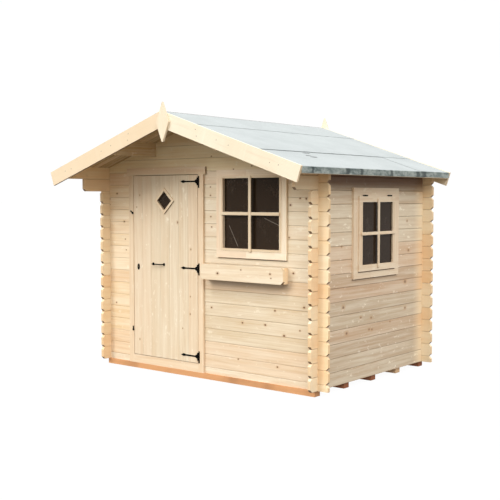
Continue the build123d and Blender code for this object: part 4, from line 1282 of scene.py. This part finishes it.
@dataclass
class Walls:
    """The log walls, their gables and the logs that carry the roof.

    Attributes:
        front_start: Where the first full log of the front and back walls starts.
        front_knots: Knots of the front wall right of the door, as x, z and radius.
        left_knots: Knots of the front wall left of the door, as x, z and radius.
        side_knots: Knots of the right wall, as y, z and radius.
    """

    front_start: float = LOG_FOOT + LOG_PITCH / 2
    front_knots: tuple[Knot, ...] = (
        (0.446, 0.528, 0.0072), (0.691, 0.531, 0.0080), (0.792, 0.657, 0.0072), (0.886, 0.459, 0.0088),
        (1.086, 0.706, 0.0080), (1.045, 0.515, 0.0056), (0.098, 0.632, 0.0072), (0.818, 0.194, 0.0064),
        (0.399, 0.212, 0.0056), (0.947, 1.525, 0.0080), (1.018, 1.652, 0.0056), (1.043, 1.579, 0.0064),
        (1.104, 1.576, 0.0072), (0.936, 1.263, 0.0056), (0.978, 0.975, 0.0080), (0.088, 1.677, 0.0048),
        (0.088, 1.605, 0.0056), (0.092, 1.421, 0.0056), (0.102, 1.332, 0.0056), (0.348, 1.825, 0.0048),
        (0.547, 1.849, 0.0048), (0.684, 1.800, 0.0048), (0.099, 1.941, 0.0048))
    left_knots: tuple[Knot, ...] = (
        (-1.091, 1.624, 0.0072), (-0.996, 1.361, 0.0072), (-1.194, 1.572, 0.0064), (-1.195, 1.520, 0.0064),
        (-0.982, 1.196, 0.0048), (-0.970, 1.095, 0.0048), (-1.110, 0.588, 0.0064))
    side_knots: tuple[Knot, ...] = (
        (-0.500, 0.682, 0.013), (0.522, 0.585, 0.011), (-0.448, 0.462, 0.012), (0.518, 0.824, 0.014),
        (0.256, 0.487, 0.007), (-0.095, 0.456, 0.009), (-0.048, 0.451, 0.009), (-0.230, 0.571, 0.010),
        (-0.063, 0.554, 0.009), (0.545, 1.374, 0.008), (0.574, 1.107, 0.011), (-0.529, 1.184, 0.007))

    def _dress_front(self) -> None:
        """Dress the front and back walls and the gables: paler by the corner, shaded under the box."""
        tail = Tail(near=-1.205, far=1.205)
        # Painted shadow line under the window casing.
        window_foot = Line(axis=0, low=0.174, high=0.918, level=1.0725)
        # Painted shadow under the window box; the logs under the window are also a shaded copy, a little
        # darker.
        box_shade = Shade(axis=0, low=0.10, high=0.93, top=0.88, bottom=0.68, depth=0.28, limit=0.92)
        beside = Timber("front logs", Grain.ALONG_X, board_start=self.front_start, tail=tail,
                        pale=srgb(230, 216, 190), warm=srgb(216, 194, 160), knot_places=self.front_knots,
                        joint=0.20, streaks=0.75, lines=(window_foot,))
        under = replace(beside, name="front logs under the window", pale=srgb(226, 211, 185),
                        warm=srgb(210, 188, 154), shades=(box_shade,))
        gable = replace(beside, name="gable logs", pale=srgb(244, 230, 194), warm=srgb(234, 212, 168),
                        lines=())
        left_of_door = replace(beside, name="front logs by the corner", pale=srgb(238, 217, 185),
                               warm=srgb(226, 197, 154), knot_places=self.left_knots, joint=0.08, lines=())
        back = Timber("back logs", Grain.ALONG_X, board_start=self.front_start, tail=tail, knots=0.4)
        dress(beside.make(), "front_wall_beside_window")
        dress(under.make(), "front_sill_log", "front_wall_under_window")
        dress(gable.make(), "front_gable")
        dress(left_of_door.make(), "front_wall_left")
        dress(back.make(), "back_wall", "back_gable")

    def _dress_sides(self) -> None:
        """Give the side walls their logs, greyer on the right, with painted shade low down, a painted glow by
        the back corner and painted shadow under the eave.
        """
        # Painted light: the far ends turn pale from well before the back corner, a glow on the side wall.
        right_tail_and_glow = Tail(near=-0.850, far=0.735, far_blend=0.19, pale=srgb(244, 225, 192),
                          warm=srgb(236, 205, 163))
        # Painted shadow line under the side window's casing.
        window_foot = Line(axis=1, low=-0.377, high=0.355, level=0.9015, width=0.010)
        # Painted shadow under the side eave.
        eave_shade = Shade(axis=1, low=-0.83, high=0.84, top=1.725, bottom=1.600, depth=0.86)
        right = Timber("side logs", Grain.ALONG_Y, tail=right_tail_and_glow, pale=srgb(216, 200, 174),
                       warm=srgb(200, 174, 144), rosy=srgb(206, 166, 132), knot_places=self.side_knots,
                       knot_depth=0.55, chalk=0.7, joint=0.42, streaks=0.85)
        # Painted shade: the logs below the side window are a darker copy, standing in for less light low
        # down.
        right_low = replace(right, name="side logs under the window", pale=srgb(197, 179, 153),
                            warm=srgb(181, 155, 127), lines=(window_foot,))
        right_top = replace(right, name="side logs under the eave", shades=(eave_shade,))
        left = Timber("left logs", Grain.ALONG_Y, tail=Tail(near=-0.850, far=0.850), knots=0.4)
        dress(right.make(), "right_wall_beside_window")
        dress(right_low.make(), "right_wall_under_window")
        dress(right_top.make(), "right_wall_top")
        dress(left.make(), "left_wall", "left_wall_top")

    def dress(self) -> None:
        """Give the walls, the ridge beam and the purlins spruce with the fibres along their logs."""
        self._dress_front()
        self._dress_sides()
        beam = Timber("roof beams", Grain.ALONG_Y, board_axis=0, board_start=-0.3, board_width=0.6,
                      pale=srgb(206, 182, 140), warm=srgb(188, 156, 108), joint=0.0, painted_shade_below=0.2)
        dress(beam.make(), "ridge_beam", "purlins")


@dataclass
class Base:
    """The bearers and the floor."""

    def dress(self) -> None:
        """Give the bearers treated timber and the floor plain boards."""
        dress(Treated().make(), "bearers")
        floor = Timber("floor boards", Grain.UP_FRONT, board_axis=0, board_start=-1.189, board_width=0.1081,
                       pale=srgb(190, 164, 124), warm=srgb(168, 138, 98), joint=0.6)
        dress(floor.make(), "floor_boards")


@dataclass
class Roof:
    """The boards, felt, bargeboards and finials of the roof.

    Attributes:
        ridge: Height of the top of the felt at the ridge.
        half_span: Ridge to the outer face of the turned-down felt, on plan.
        front: Front edge of the felt.
        back: Back edge of the felt.
        strip_edges: Lower edges of the felt strips, down the slope from the ridge.
        lap: How far one strip lies over the next.
        end_lap: Where the lowest strip is lapped end to end, along the roof.
        drop: How far the felt is turned down over the eave.
        drop_trim: How much less the strips are turned down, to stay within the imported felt's box.
        eave_trim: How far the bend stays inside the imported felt's edge.
        sheet: The thickness of the felt.
        air: The gap between one strip and the next.
        seat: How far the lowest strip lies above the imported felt.
        cell: The spacing of the points that the felt bends at.
        turns: How many steps the turned-down edge is made in.
        wave_length: The size of the felt's waves.
        wave_height: Their height.
        nail_places: Nails in the right front bargeboard, as x and the drop below its upper edge.
        nail_radius: The radius of a nail head.
        nail_proud: How far its rim stands out.
    """

    ridge: float = 0.0
    half_span: float = 0.0
    front: float = 0.0
    back: float = 0.0
    strip_edges: Span = (0.390, 1.060)
    lap: float = 0.07
    end_lap: float = 0.444
    drop: float = 0.051
    drop_trim: float = 0.004
    eave_trim: float = 0.0012
    sheet: float = 0.0020
    air: float = 0.0002
    seat: float = 0.0004
    cell: float = 0.03
    turns: int = 3
    wave_length: float = 0.22
    wave_height: float = 0.0030
    nail_places: tuple[Span, ...] = (
        (0.386, 0.042), (0.396, 0.092), (0.606, 0.060), (0.729, 0.063), (1.134, 0.070), (1.216, 0.062))
    nail_radius: float = 0.0036
    nail_proud: float = 0.0010

    def measure(self) -> None:
        """Take the felt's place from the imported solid."""
        low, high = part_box("roof_felt")
        self.ridge = high.z
        self.half_span = high.x
        self.front = low.y
        self.back = high.y

    def _turn_down(self, strip: bpy.types.Object) -> None:
        """Turn the lower edge of a flat strip down over the eave.

        Args:
            strip: The strip, still lying level.
        """
        edge = max(vertex.co.x for vertex in strip.data.vertices)
        for vertex in strip.data.vertices:
            vertex.select = vertex.co.x > edge - HAIR
        for polygon in strip.data.polygons:
            polygon.select = False
        for line in strip.data.edges:
            line.select = all(strip.data.vertices[index].select for index in line.vertices)
        fall = (self.drop - self.drop_trim) / self.turns
        step = (fall * math.sin(ROOF_PITCH), 0, -fall * math.cos(ROOF_PITCH))
        bpy.ops.object.mode_set(mode="EDIT")
        bpy.ops.mesh.select_mode(type="EDGE")
        for _ in range(self.turns):
            bpy.ops.mesh.extrude_region_move(TRANSFORM_OT_translate={"value": step})
        bpy.ops.object.mode_set(mode="OBJECT")

    def _ripple(self, strip: bpy.types.Object) -> None:
        """Give a strip its waves and its thickness.

        Args:
            strip: The strip, still lying level.
        """
        wave = bpy.data.textures.new("felt waves", "CLOUDS")
        wave.noise_scale = self.wave_length
        wave.noise_depth = 2
        ripple = strip.modifiers.new("Ripples", "DISPLACE")
        ripple.texture = wave
        ripple.texture_coords = "LOCAL"
        ripple.direction = "Z"
        ripple.mid_level = 0.5
        ripple.strength = self.wave_height
        shell = strip.modifiers.new("Thickness", "SOLIDIFY")
        shell.thickness = self.sheet
        shell.offset = -1
        apply_modifiers(strip)

    def _strip(self, side: int, down: Span, along: Span, lift: float,
               turned: bool = False) -> bpy.types.Object:
        """Model one strip of felt on one slope, with a wavy surface and its own thickness.

        Args:
            side: -1 for the left slope, 1 for the right.
            down: Where it starts and ends, down the slope from the ridge.
            along: Where it starts and ends along the roof.
            lift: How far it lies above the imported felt.
            turned: Whether its lower edge turns down over the eave.

        Returns:
            The strip.
        """
        deselect()
        width, length = down[1] - down[0], along[1] - along[0]
        bpy.ops.mesh.primitive_grid_add(x_subdivisions=round(width / self.cell),
                                        y_subdivisions=round(length / self.cell), size=1)
        strip = bpy.context.object
        strip.scale = (width, length, 1)
        strip.location = (down[0] + width / 2, (along[0] + along[1]) / 2, 0)
        strip = settle(strip, "strip")
        if turned:
            self._turn_down(strip)
        self._ripple(strip)
        strip.location = (0, 0, lift)
        strip = settle(strip, "strip")
        strip.rotation_euler = (0, ROOF_PITCH, 0)
        strip.location = (0, 0, self.ridge)
        strip = settle(strip, "strip")
        if side < 0:
            strip.scale = (-1, 1, 1)
            strip = settle(strip, "strip")
            bpy.ops.object.mode_set(mode="EDIT")
            bpy.ops.mesh.select_all(action="SELECT")
            bpy.ops.mesh.normals_make_consistent(inside=False)
            bpy.ops.object.mode_set(mode="OBJECT")
        return strip

    def build(self, felt: bpy.types.Material) -> None:
        """Lay the felt in lapped strips, each over the next lower one, with the eave edge turned down.

        Args:
            felt: The felt's finish.
        """
        self.measure()
        slope_end = self.half_span / math.cos(ROOF_PITCH) - self.eave_trim
        upper = (0.0, self.strip_edges[0])
        middle = (self.strip_edges[0] - self.lap, self.strip_edges[1])
        lowest = (self.strip_edges[1] - self.lap, slope_end)
        whole = (self.front, self.back)
        front_part = (self.front, self.end_lap + self.lap)
        back_part = (self.end_lap, self.back)
        layer = self.sheet + self.air
        strips = []
        for side in (-1, 1):
            strips.append(self._strip(side, upper, whole, 3 * layer + self.seat))
            strips.append(self._strip(side, middle, whole, 2 * layer + self.seat))
            strips.append(self._strip(side, lowest, front_part, self.seat, turned=True))
            strips.append(self._strip(side, lowest, back_part, layer + self.seat, turned=True))
        felt_strips = join(strips, "felt_strips")
        place_piece(felt_strips, felt, BODY_CABIN)
        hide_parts("roof_felt")

    def nail(self, steel: bpy.types.Material) -> None:
        """Set pairs of nails in the bargeboards of both gables.

        Args:
            steel: The finish of the nails.
        """
        low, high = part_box("front_bargeboards")
        back_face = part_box("back_bargeboards")[1].y
        for name, facing, face in (("front_barge_nails", Facing.FRONT, low.y),
                                   ("back_barge_nails", Facing.BACK, back_face)):
            places = [(side * x, face, high.z - x * math.tan(ROOF_PITCH) - drop)
                      for x, drop in self.nail_places for side in (-1, 1)]
            heads = copy_to(add_head(self.nail_radius, self.nail_proud, facing), places, name)
            place_piece(heads, steel, BODY_CABIN)

    def dress(self) -> None:
        """Give the boards, bargeboards and finials their timber."""
        # Painted shade: the roof boards are darker and browner than the other timber, for the shade under the
        # eaves.
        boards = Timber("roof boards", Grain.DOWN_ROOF, board_axis=1, board_start=-1.361, board_width=0.0933,
                        pale=srgb(176, 148, 100), warm=srgb(156, 126, 78), joint=0.5, painted_shade_below=0.0)
        dress(boards.make(), "roof_boards_left", "roof_boards_right")
        fascia = Timber("eave boards", Grain.ALONG_Y, board_width=3.0)
        dress(fascia.make(), "eave_fascias")
        barge = Timber("bargeboards", Grain.DOWN_ROOF, board_axis=0, board_start=-3.0, board_width=3.0,
                       pale=srgb(236, 224, 200), warm=srgb(226, 208, 178), rosiness=0.2, joint=0.0,
                       streaks=0.5, left_tone=srgb(222, 196, 160))
        dress(barge.make(), "front_bargeboards", "back_bargeboards")
        finial = Timber("finials", Grain.UP_FRONT, board_axis=0, board_start=-3.0, board_width=6.0,
                        pale=srgb(236, 224, 200), warm=srgb(228, 210, 180), rosiness=0.2, joint=0.0,
                        streaks=0.5)
        dress(finial.make(), "front_finial", "back_finial")


@dataclass
class FrontWindow:
    """The casing, pane, bead and glazing bars of the window beside the door.

    Attributes:
        left: Left edge of the daylight.
        right: Right edge of the daylight.
        foot: Bottom of the daylight.
        head: Top of the daylight.
        bead_width: Width of the bead round the pane.
        bead_proud: How far the bead stands out from the casing.
        bead_sunk: How far its back lies in the casing.
        bead_rounding: How far its edges are rounded.
        bar_width: Width of a glazing bar.
        bar_proud: How far the upright bar stands out from the casing.
        bar_back: How far the crossbar lies behind the front of the upright bar.
        bar_middle: Height of the middle of the crossbar.
        upright_ends: How far the upright bar runs past the daylight, below and above.
        crossbar_ends: How far the crossbar runs past it, left and right.
        rails: Heights of the casing's two level boards, from and to.
    """

    left: float = 0.244
    right: float = 0.848
    foot: float = 1.156
    head: float = 1.748
    bead_width: float = 0.020
    bead_proud: float = 0.003
    bead_sunk: float = 0.001
    bead_rounding: float = 0.0012
    bar_width: float = 0.028
    bar_proud: float = 0.0135
    bar_back: float = 0.001
    bar_middle: float = 1.451
    upright_ends: Span = (0.024, 0.019)
    crossbar_ends: Span = (0.021, 0.008)
    rails: tuple[Span, ...] = ((1.000, 1.156), (1.748, 1.950))

    def _build_beads(self, face: float, upright: bpy.types.Material, level: bpy.types.Material) -> None:
        """Model the bead round the pane.

        Args:
            face: Where the face of the casing lies.
            upright: Finish of the upright pieces.
            level: Finish of the level pieces.
        """
        front, back, width = face - self.bead_proud, face + self.bead_sunk, self.bead_width
        level_beads = [add_board("bead", (self.left - width, front, low),
                                 (self.right + width, back, low + width), self.bead_rounding)
                       for low in (self.foot - width, self.head)]
        upright_beads = [add_board("bead", (low, front, self.foot + TRIM_FIT),
                                   (low + width, back, self.head - TRIM_FIT), self.bead_rounding)
                         for low in (self.left - width, self.right)]
        place_piece(join(level_beads, "front_window_level_beads"), level, BODY_CABIN)
        place_piece(join(upright_beads, "front_window_upright_beads"), upright, BODY_CABIN)

    def build(self, upright: bpy.types.Material, level: bpy.types.Material) -> None:
        """Model the beads and the bars.

        Args:
            upright: Finish of the upright pieces.
            level: Finish of the level pieces.
        """
        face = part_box("front_window_frame")[0].y
        self._build_beads(face, upright, level)
        front, back = face - self.bar_proud, face - self.bead_proud
        middle = (self.left + self.right) / 2
        half = self.bar_width / 2
        post = add_board("front_window_upright_bar", (middle - half, front, self.foot - self.upright_ends[0]),
                         (middle + half, back, self.head + self.upright_ends[1]), BAR_ROUNDING)
        place_piece(post, upright, BODY_CABIN)
        spans = ((self.left - self.crossbar_ends[0], middle - half - TRIM_FIT),
                 (middle + half + TRIM_FIT, self.right + self.crossbar_ends[1]))
        bars = [add_board("bar", (low, front + self.bar_back, self.bar_middle - half),
                          (high, back, self.bar_middle + half), BAR_ROUNDING)
                for low, high in spans]
        place_piece(join(bars, "front_window_crossbar"), level, BODY_CABIN)

    def dress(self, upright: Timber, glass: bpy.types.Material) -> None:
        """Give the casing its timber and the pane its glass.

        Args:
            upright: The timber of the upright trim, which the casing's timber is like.
            glass: Finish of the pane.
        """
        casing = replace(upright, name="front window casing", pale=srgb(248, 235, 211),
                         warm=srgb(239, 219, 190), rails=self.rails)
        dress(casing.make(), "front_window_frame")
        dress(glass, "front_window_glass")


@dataclass
class SideWindow:
    """The casing, sash, pane, glazing bars and hinges of the side window.

    Attributes:
        middle: Middle of the upright bar.
        left: Front edge of the pane's daylight.
        right: Its back edge.
        foot: Its bottom.
        head: Its top.
        reach: How far the bars run past the daylight.
        bar_width: Width of a glazing bar.
        bar_proud: How far the upright bar stands out from the sash.
        bar_back: How far the crossbar lies behind the front of the upright bar.
        bar_middle: Height of the middle of the crossbar.
        hinge_places: Middles of the two hinges.
        hinge_length: Their length.
        hinge_radius: The radius of their knuckles.
        knuckle_back: How far the middle of a knuckle lies behind the face of the sash.
        knuckle_rise: How far it lies above the sash.
        knuckle_gap: The gap between two knuckles.
        knuckle_rim: How far the rims of a knuckle are bevelled.
        leaf_low: The lower, inner corner of a hinge leaf, from the top edge of the sash.
        leaf_high: Its upper, outer corner.
        leaf_rounding: How far its edges are rounded.
    """

    middle: float = -0.010
    left: float = -0.2567
    right: float = 0.2427
    foot: float = 1.018
    head: float = 1.548
    reach: float = 0.030
    bar_width: float = 0.027
    bar_proud: float = 0.012
    bar_back: float = 0.001
    bar_middle: float = 1.282
    hinge_places: Span = (-0.215, 0.186)
    hinge_length: float = 0.072
    hinge_radius: float = 0.0048
    knuckle_back: float = 0.002
    knuckle_rise: float = 0.004
    knuckle_gap: float = 0.0006
    knuckle_rim: float = 0.0008
    leaf_low: Span = (-0.0005, -0.003)
    leaf_high: Span = (0.0012, 0.002)
    leaf_rounding: float = 0.0004

    def _build_bars(self, upright: bpy.types.Material, level: bpy.types.Material) -> None:
        """Model the glazing bars.

        Args:
            upright: Finish of the upright bar.
            level: Finish of the crossbar.
        """
        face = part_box("side_window_sash")[1].x
        front = face + self.bar_proud
        half = self.bar_width / 2
        post = add_board("side_window_upright_bar", (face, self.middle - half, self.foot - self.reach),
                         (front, self.middle + half, self.head + self.reach), BAR_ROUNDING)
        place_piece(post, upright, BODY_CABIN)
        spans = ((self.left - self.reach, self.middle - half - TRIM_FIT),
                 (self.middle + half + TRIM_FIT, self.right + self.reach))
        bars = [add_board("bar", (face, low, self.bar_middle - half),
                          (front - self.bar_back, high, self.bar_middle + half), BAR_ROUNDING)
                for low, high in spans]
        place_piece(join(bars, "side_window_crossbar"), level, BODY_CABIN)

    def _hinge(self, place: float) -> list[bpy.types.Object]:
        """Model one hinge on top of the sash.

        Args:
            place: Where its middle lies along the sash.

        Returns:
            Its three knuckles and its leaf.
        """
        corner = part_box("side_window_sash")[1]
        third = self.hinge_length / 3
        pieces = []
        for step in (-1, 0, 1):
            deselect()
            bpy.ops.mesh.primitive_cylinder_add(vertices=KNUCKLE_SIDES, radius=self.hinge_radius,
                                                depth=third - self.knuckle_gap,
                                                location=(corner.x - self.knuckle_back, place + step * third,
                                                          corner.z + self.knuckle_rise),
                                                rotation=(math.pi / 2, 0, 0))
            knuckle = settle(bpy.context.object, "knuckle")
            rim = knuckle.modifiers.new("Rim", "BEVEL")
            rim.width = self.knuckle_rim
            rim.segments = EDGE_STEPS
            apply_modifiers(knuckle)
            pieces.append(knuckle)
        half = self.hinge_length / 2
        low = (corner.x + self.leaf_low[0], place - half, corner.z + self.leaf_low[1])
        high = (corner.x + self.leaf_high[0], place + half, corner.z + self.leaf_high[1])
        return [*pieces, add_board("leaf", low, high, self.leaf_rounding)]

    def build(self, upright: bpy.types.Material, level: bpy.types.Material, iron: bpy.types.Material) -> None:
        """Model the bars and the hinges.

        Args:
            upright: Finish of the upright bar.
            level: Finish of the crossbar.
            iron: Finish of the hinges.
        """
        self._build_bars(upright, level)
        hinges = [piece for place in self.hinge_places for piece in self._hinge(place)]
        place_piece(join(hinges, "side_window_hinges"), iron, BODY_CABIN)

    def dress(self, upright: bpy.types.Material, glass: bpy.types.Material) -> None:
        """Give the casing and the sash their timber and the pane its glass.

        Args:
            upright: Finish of the casing and the sash.
            glass: Finish of the pane.
        """
        dress(upright, "side_window_frame", "side_window_sash")
        dress(glass, "side_window_glass")


@dataclass
class Door:
    """The door leaf, its frame and its ironwork.

    Attributes:
        leaf_left: The latch edge of the leaf.
        leaf_board: The width of one board.
        hinge_heights: Heights of the middles of the straps.
        pin: Where the hinge pins stand.
        iron_proud: How far the straps and plates stand out from the leaf.
        strap_screws: Places of the screws along a strap, from the pin.
        strap_screw_radius: The radius of their heads.
        plate_screw: Place of the plate's screws beside the pin.
        plate_screw_radius: The radius of their heads.
        plate_reach: Distance of the plate's screws above and below its middle.
        plate_drop: How far the plate's middle lies below the strap's.
        screw_proud: How far the rim of a screw head stands out.
        knots: Knots of the boards, as z, x and radius.
    """

    leaf_left: float = -0.847
    leaf_board: float = 0.800 / 7
    hinge_heights: tuple[float, ...] = (0.187, 0.963, 1.727)
    pin: float = -0.0445
    iron_proud: float = 0.0033
    strap_screws: tuple[float, ...] = (-0.020, -0.075, -0.125, -0.190)
    strap_screw_radius: float = 0.0042
    plate_screw: float = 0.0125
    plate_screw_radius: float = 0.0036
    plate_reach: float = 0.042
    plate_drop: float = 0.005
    screw_proud: float = 0.0014
    knots: tuple[Knot, ...] = (
        (1.608, -0.766, 0.005), (1.498, -0.807, 0.005), (1.130, -0.128, 0.006), (0.712, -0.135, 0.005),
        (0.556, -0.138, 0.006), (0.422, -0.230, 0.005), (0.271, -0.777, 0.006), (1.365, -0.288, 0.008))

    def build(self, iron: bpy.types.Material) -> None:
        """Model the screw heads of the hinges.

        Args:
            iron: Finish of the screws.
        """
        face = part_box("door_boards")[0].y - self.iron_proud
        places = [(self.pin + along, face, z) for z in self.hinge_heights for along in self.strap_screws]
        head = add_head(self.strap_screw_radius, self.screw_proud, Facing.FRONT)
        place_piece(copy_to(head, places, "strap_screws"), iron, BODY_DOOR)
        places = [(self.pin + self.plate_screw, face, z + reach - self.plate_drop)
                  for z in self.hinge_heights for reach in (-self.plate_reach, self.plate_reach)]
        head = add_head(self.plate_screw_radius, self.screw_proud, Facing.FRONT)
        place_piece(copy_to(head, places, "plate_screws"), iron, BODY_CABIN)

    def dress(self, iron: bpy.types.Material, upright: bpy.types.Material, level: bpy.types.Material,
              head: bpy.types.Material, glass: bpy.types.Material) -> None:
        """Give the leaf its boards, light and ironwork, and the frame its trim.

        Args:
            iron: Finish of the ironwork.
            upright: Finish of the upright trim.
            level: Finish of the level trim.
            head: Finish of the board over the door.
            glass: Finish of the light in the leaf.
        """
        leaf = Timber("door boards", Grain.UP_FRONT, board_axis=0, board_start=self.leaf_left,
                      board_width=self.leaf_board, pale=srgb(224, 209, 183), warm=srgb(216, 194, 162),
                      rosiness=0.3, knot_places=self.knots, knot_depth=0.6, chalk=0.55, joint=0.06,
                      streaks=0.65)
        dress(leaf.make(), "door_boards")
        ledge = Timber("door ledges", Grain.ALONG_X, board_width=5.0, joint=0.0)
        dress(ledge.make(), "door_ledges")
        dress(upright, "door_frame_left", "door_frame_right", "door_window_trim")
        dress(head, "door_frame_head")
        dress(level, "door_frame_foot")
        dress(glass, "door_window_glass")
        dress(iron, "hinge_straps", "hinge_plates", "door_handle", "keyhole_plate", "upper_turn_button",
              "lower_turn_button")


@dataclass
class WindowBox:
    """The box for plants under the front window.

    Attributes:
        knots: Knots of its front board, as x, z and radius.
    """

    knots: tuple[Knot, ...] = ((0.238, 0.942, 0.009), (0.496, 0.984, 0.005), (0.803, 0.965, 0.007),
                               (0.812, 0.931, 0.005))

    def dress(self) -> None:
        """Give the front board and the tray their timber."""
        # Painted light: the box's ends and its tray are made very pale, so that the ends that face the side
        # look lit.
        front = Timber("window box", Grain.ALONG_X, board_axis=2, board_start=0.0, board_width=3.0,
                       pale=srgb(236, 222, 196), warm=srgb(224, 202, 168), rosiness=0.2,
                       knot_places=self.knots, joint=0.0, streaks=0.9,
                       end_grain=(srgb(255, 236, 204), srgb(250, 222, 180)))
        tray = replace(front, name="window box tray", pale=srgb(255, 226, 186), warm=srgb(250, 212, 168))
        dress(front.make(), "window_box_front")
        dress(tray.make(), "window_box_tray")


@dataclass(frozen=True)
class Sun:
    """A distant lamp.

    Attributes:
        name: Its name.
        energy: Its strength.
        spread: How wide it looks from the scene, in degrees.
        towards: The direction in which it stands.
    """

    name: str
    energy: float
    spread: float
    towards: Point

    def hang(self) -> None:
        """Add the lamp to the scene."""
        lamp = bpy.data.lights.new(self.name, "SUN")
        lamp.energy = self.energy
        lamp.angle = math.radians(self.spread)
        lamp_object = bpy.data.objects.new(self.name, lamp)
        bpy.context.collection.objects.link(lamp_object)
        lamp_object.rotation_euler = Vector(self.towards).to_track_quat("Z", "Y").to_euler()


@dataclass
class Studio:
    """The pale floor and backdrop, the soft light and the camera.

    Attributes:
        camera_place: Where the camera stands.
        camera_turn: Its turn, in degrees.
        lens: Its focal length, in millimetres.
        sensor: The width of its sensor, in millimetres.
        sky: The light from below to overhead, as colours at places from 0 to 1.
        suns: The lamps.
        floor_size: The length of the floor's sides.
        floor_glow: How bright the floor shines by itself, so that only shadows show on it.
        backdrop_radius: The radius of the backdrop round the scene.
    """

    camera_place: Point = (5.2851, -6.7289, 1.5812)
    camera_turn: Point = (86.715, 0.0, 39.05)
    lens: float = 65.11
    sensor: float = 36.0
    sky: tuple[tuple[float, Colour], ...] = ((0.40, (0.20, 0.17, 0.12)), (0.485, (0.84, 0.84, 0.83)),
                                             (0.62, (0.98, 0.98, 0.97)), (1.0, (1.9, 1.9, 1.92)))
    suns: tuple[Sun, ...] = (Sun("key light", 1.56, 25, (-0.38, -0.75, 0.50)),
                             Sun("side light", 1.05, 28, (0.68, -0.48, 0.62)))
    floor_size: float = 400.0
    floor_glow: float = 0.97
    backdrop_radius: float = 190.0

    def _hang_sky(self) -> None:
        """Light the scene softly: bright overhead, dimmer all round, and least from below."""
        shader = Shader("soft sky", sky=True)
        _, _, height = shader.parts(shader.node("ShaderNodeTexCoord", {}, {}, "Generated"))
        bpy.context.scene.world = shader.finish_sky(shader.ramp(height * 0.5 + 0.5, self.sky))

    def _lay_floor(self) -> bpy.types.Object:
        """Lay the pale floor, which takes shadows and throws no light back.

        Returns:
            The floor.
        """
        deselect()
        bpy.ops.mesh.primitive_plane_add(size=self.floor_size, location=(0, 0, 0))
        floor = bpy.context.object
        floor.name = "studio_floor"
        shader = Shader("studio floor")
        grain = shader.noise(shader.coordinates(), scale=3.0, detail=3.0)
        colour = shader.mix(grain, (0.035, 0.035, 0.035), (0.032, 0.032, 0.032))
        floor.data.materials.append(shader.finish(colour, 0.9, Specular_IOR_Level=0.0,
                                                  Emission_Color=(1.0, 1.0, 1.0, 1.0),
                                                  Emission_Strength=self.floor_glow))
        return floor

    def _set_backdrop(self) -> bpy.types.Object:
        """Set the white backdrop round the scene.

        Returns:
            The backdrop.
        """
        deselect()
        bpy.ops.mesh.primitive_uv_sphere_add(segments=48, ring_count=24, radius=self.backdrop_radius)
        backdrop = bpy.context.object
        backdrop.name = "studio_backdrop"
        shader = Shader("studio backdrop")
        cloth = shader.noise(shader.coordinates(), scale=0.02, detail=1.0)
        white = shader.mix(cloth, (1.02, 1.02, 1.02), (1.0, 1.0, 1.0))
        backdrop.data.materials.append(shader.finish((0.0, 0.0, 0.0), 1.0, Specular_IOR_Level=0.0,
                                                     Emission_Color=white, Emission_Strength=1.0))
        return backdrop

    def _stand_camera(self) -> None:
        """Stand the camera before the front corner."""
        camera = bpy.data.cameras.new("camera")
        camera.lens = self.lens
        camera.sensor_width = self.sensor
        camera_object = bpy.data.objects.new("camera", camera)
        bpy.context.collection.objects.link(camera_object)
        camera_object.location = self.camera_place
        camera_object.rotation_euler = [math.radians(turn) for turn in self.camera_turn]
        bpy.context.scene.camera = camera_object

    def build(self) -> None:
        """Set up the studio; its floor and backdrop light nothing."""
        floor, backdrop = self._lay_floor(), self._set_backdrop()
        floor.visible_diffuse = False
        backdrop.visible_diffuse = False
        backdrop.visible_glossy = False
        backdrop.visible_transmission = False
        backdrop.visible_shadow = False
        self._hang_sky()
        for sun in self.suns:
            sun.hang()
        self._stand_camera()
        bpy.context.scene.view_settings.view_transform = "Standard"


def main() -> None:
    """Build and dress every part of the cabin."""
    logging.basicConfig(level=logging.INFO, format="%(message)s")
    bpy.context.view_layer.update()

    iron, steel, felt, glass = Iron().make(), Steel().make(), Felt().make(), Pane().make()
    upright = Timber("upright trim", Grain.UP_FRONT, board_axis=0, board_start=-0.1, board_width=0.3,
                     pale=TRIM_PALE, warm=TRIM_WARM, joint=0.0, streaks=0.7)
    level = replace(upright, name="level trim", grain=Grain.ALONG_X, board_axis=2, board_start=0.0)
    # Painted shade: the door head's dark end grain stands for the shade on the end that faces away from the
    # key light.
    head = replace(level, name="door head", end_grain=(srgb(100, 70, 42), srgb(72, 48, 28)))
    side_upright = replace(upright, name="side upright trim", grain=Grain.UP_SIDE, board_axis=1,
                           pale=srgb(226, 206, 178), warm=srgb(214, 186, 154),
                           # Painted shadow line under the sash.
                           lines=(Line(axis=1, low=-0.309, high=0.295, level=0.9605, width=0.009),),
                           rails=((0.850, 1.018), (1.548, 1.700)))
    side_level = replace(side_upright, name="side level trim", grain=Grain.ALONG_Y, board_axis=2)
    upright_trim, level_trim, side_trim = upright.make(), level.make(), side_upright.make()

    Walls().dress()
    Base().dress()
    roof = Roof()
    roof.build(felt)
    roof.nail(steel)
    roof.dress()
    front_window = FrontWindow()
    front_window.build(upright_trim, level_trim)
    front_window.dress(upright, glass)
    side_window = SideWindow()
    side_window.build(side_trim, side_level.make(), iron)
    side_window.dress(side_trim, glass)
    door = Door()
    door.build(iron)
    door.dress(iron, upright_trim, level_trim, head.make(), glass)
    WindowBox().dress()
    Studio().build()


if __name__ == "__main__":
    main()
